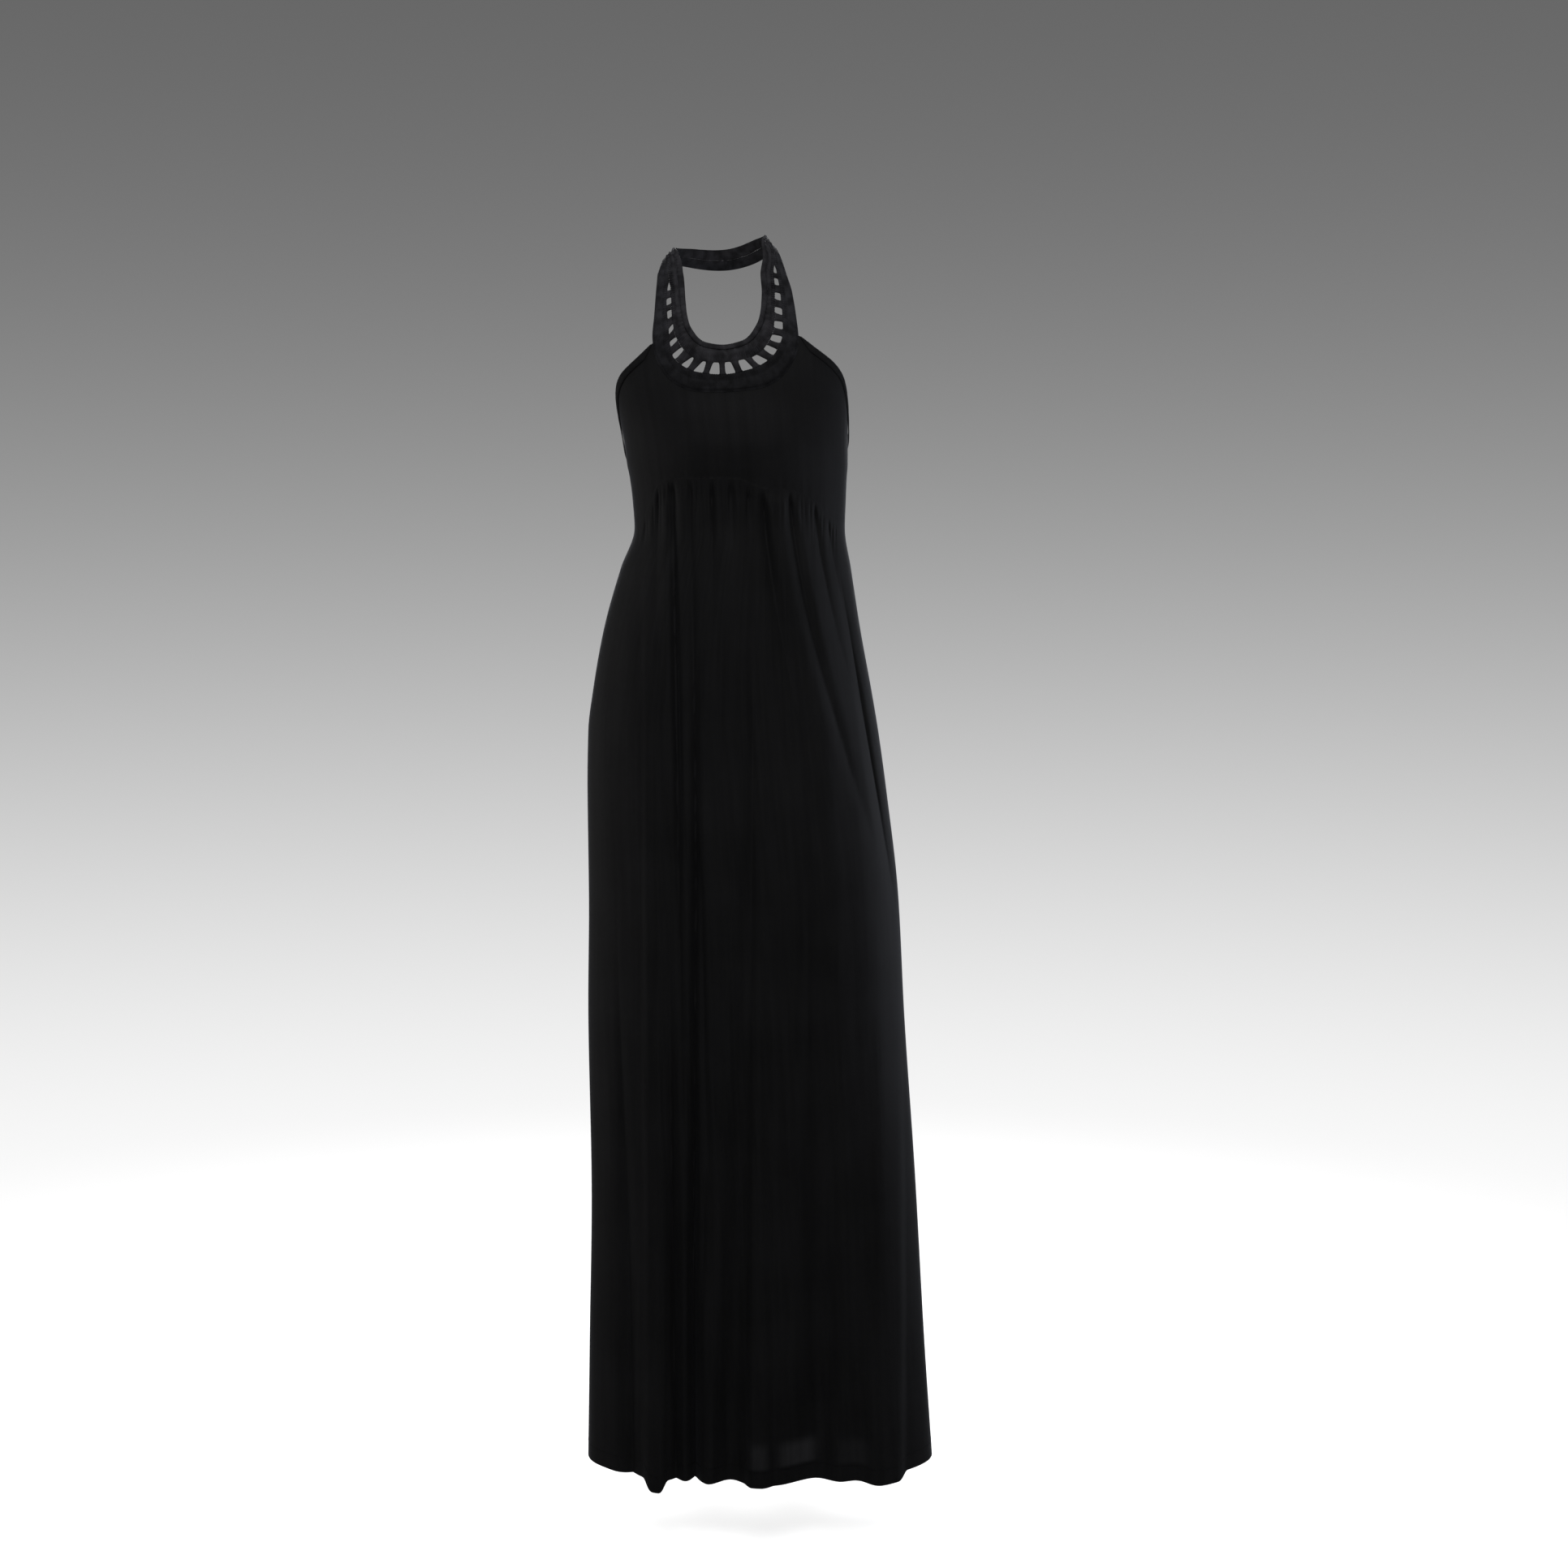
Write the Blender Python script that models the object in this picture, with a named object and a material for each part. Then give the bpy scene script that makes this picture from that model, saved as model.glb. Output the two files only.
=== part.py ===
"""Halter maxi dress in its worn, hollow shape: ladder collar, smooth bodice and a gathered full-length skirt.

Every piece is a cloth wall on one worn form. A place on the form is an angle (0 at the centre front,
90 at the side toward +X, 180 at the centre back) and a height above the floor under the hem.
Sizes here are millimetres and degrees. The origin is on the neck's axis, where the collar hangs.
"""

import math

import bmesh
import bpy
import numpy as np

MILLIMETRE = 0.001
SEAM_GAP = 0.3

# Driving heights above the floor
NECK_HEIGHT = 1510.0
EMPIRE_HEIGHT = 1240.0
HEM_HEIGHT = 83.0

# Cloth
JERSEY = 1.2
HEM_TURN_UP = 20.0
HEM_JERSEY = 2.4
SEAM_REACH = 18.0
COLLAR_LIFT = 0.5
SEAM_LAP = 7.0
SHOULDER_LEAN = 7.0
NECKLINE_TURN = -0.8

# Armhole corners of the bodice, where the collar's outer edge meets the armholes
CORNER_ANGLE = 38.0

# Ladder of the collar
HOLE_ROUNDING = 1.0
RUNG_GAP = 0.4
NECK_BINDING_WIDTH = 6.5

ARMHOLE_BINDING_WIDTH = 8.0
BINDING_LIFT = 0.7


def table(columns, *rows):
    """The columns of a short table by name, each as an array."""
    return dict(zip(columns.split(), np.array(rows, float).T))


# Outline of the worn form: how far it reaches to the left, right, front and back of the neck's axis
FORM = table(
    "height left right front back",
    (83, -164, 246, 105, 122),
    (223, -161, 236, 105, 119),
    (421, -157, 224, 105, 116),
    (616, -159, 210, 105, 114),
    (760, -157, 202, 105, 116),
    (879, -157.5, 188, 105, 118),
    (950, -156, 178, 104, 115),
    (997, -150, 170, 103, 108),
    (1067, -137, 157, 102, 95),
    (1137, -117, 146, 100, 82),
    (1183, -101, 139, 99, 76),
    (1215, -103, 140, 104, 78),
    (1240, -106, 141, 109, 80),
    (1255, -109, 142, 113, 83),
    (1280, -112, 142, 118, 86),
    (1300, -116, 142, 116, 88),
    (1335, -124, 142, 105, 90),
    (1360, -129, 142, 97, 90),
    (1390, -128, 139, 86, 90),
    (1420, -117, 127, 74, 86),
    (1445, -103, 112, 64, 80),
    (1464, -88, 95, 60, 72),
    (1482, -66, 76, 55, 60),
    (1504, -48, 51, 50, 52),
    (1515, -44, 45, 48, 49),
)

# Collar from the centre front to the nape: the neckline is its inner edge, the seam to the bodice its outer
COLLAR = table(
    "inner_angle inner_height outer_angle outer_height",
    (0, 1387, 0, 1335),
    (9, 1391, 14.6, 1337),
    (12.2, 1396, 26, 1348),
    (14.8, 1403, 33, 1366),
    (17.3, 1411, 36.5, 1382),
    (19.5, 1422, 38, 1400),
    (22, 1438, 41.5, 1430),
    (27.5, 1464, 51, 1463),
    (42, 1485, 66, 1480),
    (66, 1500, 84, 1487),
    (90, 1504, 98, 1488),
    (130, 1503, 133, 1484),
    (180, 1498, 180, 1475),
)

# Holes of the collar's ladder, from the top of the strap toward -X round the front to the other strap's top:
# distance from the centre front, offset from the collar's middle line and width, at the hole's inner and
# outer end. The first and last rows are where the ladder closes.
HOLES = table(
    "inner_distance outer_distance inner outer inner_width outer_width",
    (-151.5, -151.5, 0.2, 0.5, 0, 0),
    (-144.5, -144, -1.5, 2.2, 6.5, 6.5),
    (-128, -127, -2.2, 3.5, 8, 8),
    (-111.5, -111, -2.8, 2.6, 9.5, 9.5),
    (-93, -90, -5.2, 0.8, 7.3, 7.3),
    (-75.5, -75.5, -7.2, 3.0, 5.2, 5.8),
    (-60, -62, -7.2, 7.6, 5.5, 6.6),
    (-41, -46, -7.2, 6.8, 3.8, 8.4),
    (-25, -30, -6.7, 6.6, 4.8, 10.9),
    (-11, -12.5, -6.6, 7.2, 7.3, 11.8),
    (2.5, 5, -7.0, 6.9, 7.3, 10.8),
    (18.5, 23.5, -7.3, 5.6, 8.2, 12.2),
    (35.5, 42, -7.5, 4.8, 8.5, 10.5),
    (55, 59, -7.5, 5.2, 7.7, 8.4),
    (70.5, 75, -7.0, 4.6, 8.2, 8.4),
    (88, 91.5, -6.6, 4.0, 8.6, 9.1),
    (107, 107.5, -5.4, 3.5, 7.8, 7.8),
    (125.5, 124.5, -4.0, 2.8, 8.6, 8.6),
    (143, 142, -2.2, 2.8, 8.2, 7.8),
    (156.5, 155.5, -1.0, 2.8, 6.5, 6.5),
    (163, 163, 0.2, 0.5, 0, 0),
)

# Top edge of the bodice past each corner: the armhole, the side seam at 90 and the back's top edge
ARMHOLE = table(
    "angle height",
    (38, 1393),
    (46.5, 1380),
    (54, 1370.5),
    (62, 1361),
    (74, 1343),
    (83, 1317),
    (90, 1288),
    (110, 1262),
    (140, 1248),
    (180, 1242),
)

# Empire seam round the dress, from the centre back by the left side
EMPIRE = table(
    "angle height",
    (-180, 1180),
    (-90, 1182),
    (-67, 1190),
    (-57, 1206),
    (-46, 1232),
    (-35, 1241),
    (-2, EMPIRE_HEIGHT),
    (8, 1234),
    (14, 1229),
    (30, 1227),
    (46, 1213),
    (54, 1202),
    (75, 1185),
    (90, 1182),
    (180, 1180),
)

# Long folds: x at the empire seam, thigh, calf and hem, how far the cloth stands out there, and the
# half widths of the fold at the hem toward -X and +X. A fold that stands out by less than 0 is a trough,
# sharp at its bottom if it is narrow.
FOLD_HEIGHTS = (HEM_HEIGHT, 260.0, 850.0, EMPIRE_HEIGHT)
NARROW_FOLD = 20.0
FOLD_COLUMNS = "x_hem x_calf x_thigh x_seam out_hem out_calf out_thigh out_seam left_width right_width"
FRONT_FOLDS = table(
    FOLD_COLUMNS,
    (-107, -108, -122, -100, -10, -7, 0, 0, 26, 16),
    (-80, -80, -80, -82, 8, 2, 2, 0, 18, 17),
    (-56, -58, -60, -60, -12, -14, 0, 0, 17, 18),
    (-34, -35, -30, -34, -24, -20, -10, 0, 15, 17),
    (-30, -40, -50, -55, 0, 0, -8, -4, 18, 16),
    (7, 12, 31, 36, -18, -13, -4, -1, 27, 27),
    (36, 38, 40, 40, 8, 5, 0, 0, 14, 24),
    (103, 112, 110, 100, -20, -14, 0, 0, 42, 36),
    (120, 125, 130, 55, 0, 0, 3, 4, 44, 60),
    (198, 199, 194, 150, 9, 8, 0, 0, 40, 16),
)
BACK_FOLDS = table(
    FOLD_COLUMNS,
    (-112, -104, -92, -70, 18, 12, 5, 0, 34, 30),
    (-62, -60, -52, -42, -20, -13, -6, -2, 24, 26),
    (-18, -16, -12, -8, 20, 12, 5, 0, 26, 24),
    (34, 32, 28, 20, -22, -15, -7, -3, 26, 28),
    (88, 84, 72, 52, 19, 13, 6, 0, 32, 28),
    (140, 132, 112, 84, -18, -12, -5, -2, 28, 30),
    (192, 180, 148, 110, 16, 10, 3, 0, 30, 24),
)

# Where the hem dips below its height: x, depth and half widths toward -X and +X
HEM_DIPS = table("x dip left_width right_width", (-80, 13, 15, 15), (200, 8, 52, 15))

# Gathers under the empire seam: x at the seam, how far they drift toward +X, length, depth and half width
GATHER_COLUMNS = "x drift length depth half_width"
FRONT_GATHERS = table(
    GATHER_COLUMNS,
    (-86, -6, 80, 3, 7),
    (-71, -9, 200, 4, 9),
    (-52, -1, 300, 4, 9),
    (-34, -1, 100, 4, 7),
    (-10, -1, 200, 6, 8),
    (11, 5, 120, 6, 8),
    (30, 4, 90, 4, 7),
    (46, 75, 380, 10, 11),
    (76, 123, 430, 10, 11),
    (104, 70, 260, 5, 9),
    (119, 50, 190, 4, 9),
)

# Creases of the open skirt: x and height at the top and the bottom, depth, and half widths toward -X and +X
CREASE_COLUMNS = "x_top x_bottom top bottom depth left_width right_width"
FRONT_CREASES = table(
    CREASE_COLUMNS,
    (132, 200, 1135, 740, 7, 14, 10),
    (-54, -46, 1180, 800, 7, 9, 9),
    (-24, -19, 820, 460, 6, 10, 10),
    (36, 31, 1060, 640, 4, 12, 12),
    (-18, -26, 520, 250, 4, 9, 9),
)
BACK_CREASES = table(
    CREASE_COLUMNS,
    (-112, -138, 1120, 800, 5, 12, 12),
    (20, 26, 900, 480, 4, 12, 12),
    (126, 160, 1110, 760, 7, 9, 9),
)
BACK_GATHERS = table(
    GATHER_COLUMNS,
    (-74, -8, 120, 3.5, 10),
    (-50, -5, 170, 4.5, 11),
    (-24, -2, 130, 3.5, 10),
    (3, 2, 210, 5, 12),
    (30, 4, 140, 3.5, 10),
    (57, 8, 180, 4.5, 11),
    (84, 10, 130, 4, 10),
    (108, 12, 110, 3, 9),
)

# Columns of the front panels: closer where the skirt's narrow folds are
FRONT_COLUMNS = ((-90, -60, 7), (-60, -38, 5), (-38, 2, 27), (2, 38, 12), (38, 62, 9), (62, 90, 9))
BACK_COLUMNS = ((90, 270, 36),)
SKIRT_ROWS = 14
BODICE_FRONT_ROWS = 8
BODICE_BACK_ROWS = 4
NAPE_COLUMNS = 16
LADDER_COLUMNS = 60


def smooth(keys, values, at, level=False):
    """A cubic curve through a table's rows, with rising keys, that never overshoots a row; level at its ends."""
    step = np.diff(keys)
    rise = np.diff(values) / step
    slope = np.zeros(len(values))
    turning = rise[:-1] * rise[1:] <= 0
    total = np.where(turning, 1.0, rise[:-1] + rise[1:])
    slope[1:-1] = np.where(turning, 0.0, 2 * rise[:-1] * rise[1:] / total)
    if not level:
        slope[0], slope[-1] = rise[0], rise[-1]
    at = np.clip(at, keys[0], keys[-1])
    i = np.clip(np.searchsorted(keys, at) - 1, 0, len(step) - 1)
    t = (at - keys[i]) / step[i]
    start = (1 + 2 * t) * (1 - t) ** 2 * values[i] + t * (1 - t) ** 2 * step[i] * slope[i]
    end = t**2 * (3 - 2 * t) * values[i + 1] + t**2 * (t - 1) * step[i] * slope[i + 1]
    return start + end


def ease(share):
    """A smooth step from 0 to 1."""
    share = np.clip(share, 0, 1)
    return share**2 * (3 - 2 * share)


def hump(distance, left_width, right_width):
    """1 on a fold's line, falling smoothly to 0 at its half width on each side."""
    width = np.where(distance < 0, left_width, right_width)
    return np.cos(np.clip(distance / width, -1, 1) * math.pi / 2) ** 2


def ridge(distance, left_width, right_width):
    """A fold's round section, flat on top."""
    return 1 - (1 - hump(distance, left_width, right_width)) ** 2.5


def trough(distance, left_width, right_width):
    """The section of a trough between two folds, narrow at its bottom."""
    width = np.where(distance < 0, left_width, right_width)
    return (1 - np.clip(np.abs(distance) / width, 0, 1)) ** 2


def long_folds(folds, x, height):
    """How far the long folds stand out at a place on the skirt."""
    keys = np.array(FOLD_HEIGHTS)
    narrowing = np.interp(height, (HEM_HEIGHT, EMPIRE_HEIGHT), (1.0, 0.5))
    out = np.zeros_like(x)
    for row in range(len(folds["x_hem"])):
        line = [folds[c][row] for c in ("x_hem", "x_calf", "x_thigh", "x_seam")]
        stand = [folds[c][row] for c in ("out_hem", "out_calf", "out_thigh", "out_seam")]
        distance = (x - smooth(keys, np.array(line), height)) / narrowing
        widths = folds["left_width"][row], folds["right_width"][row]
        if max(stand) > 0:
            shape = ridge(distance, *widths)
        else:
            shape = trough(distance, *widths) if min(widths) < NARROW_FOLD else hump(distance, *widths)
        out += smooth(keys, np.array(stand), height) * shape
    return out


def gathers(rows, x, below_seam):
    """How far the gathers stand out, which is inward, at a distance below the empire seam."""
    out = np.zeros_like(x)
    for start, drift, length, depth, half_width in zip(*(rows[c] for c in GATHER_COLUMNS.split())):
        along = np.clip(below_seam / length, 0, 1)
        swell = (1 - along) ** 1.3
        line = start + drift * along**1.5
        out -= depth * swell * trough(x - line, half_width * (1 + along), half_width * (1 + along))
    return out


def creases(rows, x, height):
    """How far the creases that start and end on the open skirt stand out, which is inward."""
    out = np.zeros_like(x)
    for start, end, top, bottom, depth, left, right in zip(*(rows[c] for c in CREASE_COLUMNS.split())):
        along = np.clip((top - height) / (top - bottom), 0, 1)
        line = start + (end - start) * along
        out -= depth * np.sin(math.pi * along) ** 0.8 * trough(x - line, left, right)
    return out


def form(angle, height):
    """The worn form's surface."""
    left, right = (smooth(FORM["height"], FORM[side], height) for side in ("left", "right"))
    front, back = (smooth(FORM["height"], FORM[side], height) for side in ("front", "back"))
    turn = np.radians(angle)
    x = (left + right) / 2 + (right - left) / 2 * np.sin(turn)
    y = -np.cos(turn) * np.where(np.cos(turn) > 0, front, back)
    return np.stack([x, y, height + 0 * x], axis=-1)


def skirt_surface(angle, height):
    """The worn form with the skirt's folds and gathers, which die out toward the side seams."""
    point = form(angle, height)
    x = point[..., 0]
    facing = np.cos(np.radians(angle))
    below_seam = smooth(EMPIRE["angle"], EMPIRE["height"], wrapped(angle)) - height
    front = long_folds(FRONT_FOLDS, x, height) + gathers(FRONT_GATHERS, x, below_seam)
    front += creases(FRONT_CREASES, x, height)
    back = long_folds(BACK_FOLDS, x, height) + gathers(BACK_GATHERS, x, below_seam)
    back += creases(BACK_CREASES, x, height)
    fade = ease(np.abs(facing) / 0.35) * ease(below_seam / SEAM_REACH)
    point[..., 1] += fade * np.where(facing > 0, -front, back)
    return point


def hem_height(angle):
    """Height of the hem, which dips under two of the front's folds."""
    x = form(angle, HEM_HEIGHT + 0 * angle)[..., 0]
    height = HEM_HEIGHT + 0 * x
    for middle, dip, left, right in zip(*HEM_DIPS.values()):
        height -= dip * ridge(x - middle, left, right)
    return np.where(np.cos(np.radians(angle)) > 0, height, HEM_HEIGHT)


def wrapped(angle):
    """The same direction as an angle from -180 to 180."""
    return (np.asarray(angle, float) + 180) % 360 - 180


def lifted(surface, angle, height, lift, level=False):
    """Points at a distance out from a surface, along its normal or level with the point."""
    turn, climb = 0.05, 0.1
    along = surface(angle + turn, height) - surface(angle - turn, height)
    up = surface(angle, height + climb) - surface(angle, height - climb)
    normal = np.cross(along, up)
    if level:
        normal[..., 2] = 0
    normal /= np.linalg.norm(normal, axis=-1, keepdims=True)
    return surface(angle, height) + normal * np.broadcast_to(lift, height.shape)[..., None]


def wall(name, outer, inner, material, closed=False):
    """One closed body between an outer and an inner grid; the columns of a closed one run right round."""
    columns, rows = outer.shape[:2]
    inside = columns * rows
    spans = columns if closed else columns - 1

    def index(column, row):
        return column % columns * rows + row

    faces = []
    for i in range(spans):
        for j in range(rows - 1):
            a, b, c, d = index(i, j), index(i, j + 1), index(i + 1, j + 1), index(i + 1, j)
            faces += [(a, b, c, d), (inside + a, inside + d, inside + c, inside + b)]
        for j in (0, rows - 1):
            a, b = index(i, j), index(i + 1, j)
            faces.append((a, b, inside + b, inside + a))
    if not closed:
        for i in (0, columns - 1):
            for j in range(rows - 1):
                a, b = index(i, j), index(i, j + 1)
                faces.append((a, b, inside + b, inside + a))

    points = np.concatenate([outer.reshape(-1, 3), inner.reshape(-1, 3)])
    points[:, 2] -= NECK_HEIGHT
    mesh = bpy.data.meshes.new(name)
    mesh.from_pydata((points * MILLIMETRE).tolist(), [], faces)
    shaped = bmesh.new()
    shaped.from_mesh(mesh)
    bmesh.ops.recalc_face_normals(shaped, faces=shaped.faces)
    bmesh.ops.triangulate(shaped, faces=shaped.faces, quad_method="FIXED")
    shaped.to_mesh(mesh)
    shaped.free()
    mesh.shade_smooth()
    mesh.set_sharp_from_angle(angle=math.radians(50))
    piece = bpy.data.objects.new(name, mesh)
    piece.data.materials.append(material)
    bpy.context.scene.collection.objects.link(piece)
    return piece


def fabric(name, colour, roughness):
    """A plain cloth material."""
    material = bpy.data.materials.new(name)
    material.use_nodes = True
    shader = material.node_tree.nodes["Principled BSDF"]
    shader.inputs["Base Color"].default_value = (*colour, 1)
    shader.inputs["Roughness"].default_value = roughness
    shader.inputs["Metallic"].default_value = 0
    return material


def columns_of(spans):
    """Angles from the spans' starts, ends and counts, in 0.08 degree from the side seams at both ends."""
    angles = [np.linspace(start, end, count, endpoint=False) for start, end, count in spans]
    angles = np.concatenate([*angles, [spans[-1][1]]])
    seam_turn = 0.08
    angles[0] += seam_turn
    angles[-1] -= seam_turn
    return angles


def shoulder_lean(angle):
    """How much higher the shoulder line stands toward +X."""
    return SHOULDER_LEAN * np.sin(np.radians(angle))


def collar_place(station, across):
    """Angle and height at a station, -1 to 1 from the nape round the front, and a share of the way across."""
    keys = np.linspace(0, 1, len(COLLAR["inner_angle"]))
    half = np.abs(station)
    side = np.sign(station)
    inner, outer = (smooth(keys, COLLAR[c], half) for c in ("inner_angle", "outer_angle"))
    angle = side * (inner + (outer - inner) * across) + NECKLINE_TURN * (1 - across)
    inner, outer = (smooth(keys, COLLAR[c], half, level=True) for c in ("inner_height", "outer_height"))
    height = inner + (outer - inner) * across
    return angle, height + shoulder_lean(angle)


def collar_lengths():
    """Stations round one half of the collar, their distance along its middle, and its width there."""
    station = np.linspace(0, 1, 401)
    middle = form(*collar_place(station, 0.5))
    steps = np.linalg.norm(np.diff(middle, axis=0), axis=1)
    width = np.linalg.norm(form(*collar_place(station, 1.0)) - form(*collar_place(station, 0.0)), axis=1)
    return station, np.concatenate([[0], np.cumsum(steps)]), width


STATIONS, DISTANCES, WIDTHS = collar_lengths()
COLLAR_HALF_LENGTH = DISTANCES[-1]


def collar_points(distance, offset, lift):
    """Points of the collar at a distance from the centre front, offset out from its middle line."""
    station = np.sign(distance) * np.interp(np.abs(distance), DISTANCES, STATIONS)
    width = np.interp(np.abs(distance), DISTANCES, WIDTHS)
    angle, height = collar_place(station, 0.5 + offset / width)
    return lifted(form, angle, height, COLLAR_LIFT + lift)


def ladder_edge(side, distance):
    """Offset of a band's edge along the ladder, on the ladder's inner or outer side."""
    return smooth(HOLES[side + "_distance"], HOLES[side], distance)


def hole_side(hole, way, along):
    """Distance of a hole's side toward -1 or +1, at a share of the way out along it, round at its corners."""
    inner = HOLES["inner_distance"][hole] + way * HOLES["inner_width"][hole] / 2
    outer = HOLES["outer_distance"][hole] + way * HOLES["outer_width"][hole] / 2
    return inner + (outer - inner) * along - way * HOLE_ROUNDING * np.abs(2 * along - 1) ** 6


def half_collar(distance):
    """Half the collar's whole width at a distance from the centre front."""
    return np.interp(np.abs(distance), DISTANCES, WIDTHS) / 2


def band(name, start, end, profile, material):
    """A strip round the collar between two offset functions, with a profile of lifts across it."""
    first, last = HOLES["inner_distance"][[0, -1]]
    ladder = np.linspace(first, last, LADDER_COLUMNS, endpoint=False)
    nape = np.linspace(last, 2 * COLLAR_HALF_LENGTH + first, NAPE_COLUMNS, endpoint=False)
    nape = np.where(nape > COLLAR_HALF_LENGTH, nape - 2 * COLLAR_HALF_LENGTH, nape)
    distance = np.concatenate([ladder, nape])[:, None]
    across = profile["across"][None, :]
    offset = start(distance) + (end(distance) - start(distance)) * across
    distance = distance + 0 * across
    outer = collar_points(distance, offset, profile["lift"][None, :] + 0 * distance)
    inner = collar_points(distance, offset, 0 * distance)
    return wall(name, outer, inner, material, closed=True)


def build_collar(jersey):
    """Neck binding, gathered inner band, flat outer band and the rungs between them."""
    binding = table("across lift", (0, 0.8), (0.3, 2.2), (0.7, 2.2), (1, 0.8))
    gathered = table("across lift", (0, 1.0), (0.35, 2.4), (0.7, 1.5), (1, 1.1))
    flat = table("across lift", (0, 1.2), (0.2, 2.0), (0.45, 1.5), (1, 1.3))
    band(
        "neck_binding",
        lambda d: -half_collar(d),
        lambda d: NECK_BINDING_WIDTH - half_collar(d),
        binding,
        jersey,
    )
    band(
        "neck_band_inner",
        lambda d: NECK_BINDING_WIDTH + SEAM_GAP - half_collar(d),
        lambda d: ladder_edge("inner", d),
        gathered,
        jersey,
    )
    band("neck_band_outer", lambda d: ladder_edge("outer", d), half_collar, flat, jersey)
    for hole in range(1, len(HOLES["inner"]) - 2):
        rung(f"rung_{hole:02d}", hole, jersey)


def rung(name, hole, jersey):
    """One bar of the ladder, between a hole and the next: round on its outer side."""
    across = np.linspace(0, 1, 5)[:, None]
    along = np.linspace(0, 1, 5)[None, :]
    left, right = hole_side(hole, 1, along), hole_side(hole + 1, -1, along)
    distance = left + (right - left) * across
    start, end = ladder_edge("inner", distance) + RUNG_GAP, ladder_edge("outer", distance) - RUNG_GAP
    offset = start + (end - start) * along
    lift = 0.6 + 1.3 * np.sqrt(np.clip(1 - (2 * across - 1) ** 2, 0, 1)) + 0 * along
    wall(name, collar_points(distance, offset, lift), collar_points(distance, offset, 0 * lift), jersey)


def bodice_top(angle):
    """Height of the bodice's top edge: lapped under the collar between the corners, the armhole past them."""
    angle = wrapped(angle)
    turn = np.abs(angle)
    collar_angle, collar_height = collar_place(STATIONS, 1.0)
    collar_edge = np.interp(turn, collar_angle, collar_height - shoulder_lean(collar_angle))
    lap = SEAM_LAP * (1 - np.clip(turn / CORNER_ANGLE, 0, 1) ** 2)
    armhole = smooth(ARMHOLE["angle"], ARMHOLE["height"], turn)
    top = np.where(turn < CORNER_ANGLE, np.minimum(collar_edge + lap, armhole), armhole)
    return top + shoulder_lean(angle)


def empire_seam(angle):
    """Height of the empire seam."""
    return smooth(EMPIRE["angle"], EMPIRE["height"], wrapped(angle))


def bodice_panel(name, spans, rows, jersey):
    """A bodice panel from the empire seam up to its top edge."""
    angle = columns_of(spans)[:, None] + np.zeros((1, rows + 1))
    bottom = empire_seam(angle) + SEAM_GAP / 2
    height = bottom + (bodice_top(angle) - bottom) * np.linspace(0, 1, rows + 1)[None, :]
    inner = lifted(form, angle, height, -JERSEY)
    inner[:, :1] = lifted(form, angle[:, :1], bottom[:, :1], -JERSEY, level=True)
    return wall(name, form(angle, height), inner, jersey)


def skirt_panel(name, spans, jersey):
    """A skirt panel from the hem, doubled where it is turned up, to its gathered top edge."""
    angle = columns_of(spans)[:, None]
    top = empire_seam(angle) - SEAM_GAP / 2
    hem = hem_height(angle)
    turn_up = hem + HEM_TURN_UP
    height = turn_up + (top - turn_up) * np.linspace(0, 1, SKIRT_ROWS + 1)[None, :]
    height = np.concatenate([hem, height], axis=1)
    angle = angle + 0 * height
    thickness = np.full(height.shape, JERSEY)
    thickness[:, :2] = HEM_JERSEY
    inner = lifted(skirt_surface, angle, height, -thickness, level=True)
    return wall(name, skirt_surface(angle, height), inner, jersey)


def armhole_binding(jersey):
    """A narrow strip folded over the armholes and the back's top edge, in one length under both arms."""
    start = CORNER_ANGLE + 0.6
    angle = np.linspace(start, 360 - start, 64)
    edge = bodice_top(angle)
    step = 0.5
    run = np.linalg.norm(form(angle + step, edge)[:, :2] - form(angle - step, edge)[:, :2], axis=1)
    slope = (bodice_top(angle + step) - bodice_top(angle - step)) / run
    slant = np.sqrt(1 + slope**2)
    from_corner = np.minimum(angle - CORNER_ANGLE, 360 - CORNER_ANGLE - angle)
    width = np.interp(from_corner, (0, 7), (1.0, ARMHOLE_BINDING_WIDTH))
    down = (width[:, None] * np.array([0.0, 0.5, 1.0])[None, :]) / slant[:, None]
    turned = angle[:, None] + slope[:, None] * down * (2 * step) / run[:, None]
    height = edge[:, None] - down
    lift = BINDING_LIFT + np.array([1.0, 1.4, 1.0])[None, :] + 0 * height
    outer = lifted(form, turned, height, lift)
    inner = lifted(form, turned, height, BINDING_LIFT + 0 * height)
    return wall("armhole_binding", outer, inner, jersey)


def build_dress():
    """All the pieces of the dress."""
    jersey = fabric("black_jersey", (0.009, 0.009, 0.011), 0.85)
    build_collar(jersey)
    bodice_panel("bodice_front", FRONT_COLUMNS, BODICE_FRONT_ROWS, jersey)
    bodice_panel("bodice_back", BACK_COLUMNS, BODICE_BACK_ROWS, jersey)
    armhole_binding(jersey)
    skirt_panel("skirt_front", FRONT_COLUMNS, jersey)
    skirt_panel("skirt_back", BACK_COLUMNS, jersey)


for leftover in list(bpy.data.objects):
    bpy.data.objects.remove(leftover, do_unlink=True)
build_dress()
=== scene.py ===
"""Looks of the halter dress: shells of black jersey on the worn form, with gathers, folds and stitches.

A place on the worn form is an angle (0 at the centre front, 90 at the side toward +X, 180 at the centre
back) and a height above the floor. Sizes are millimetres and degrees until a mesh is made, in metres.
"""

import math

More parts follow.
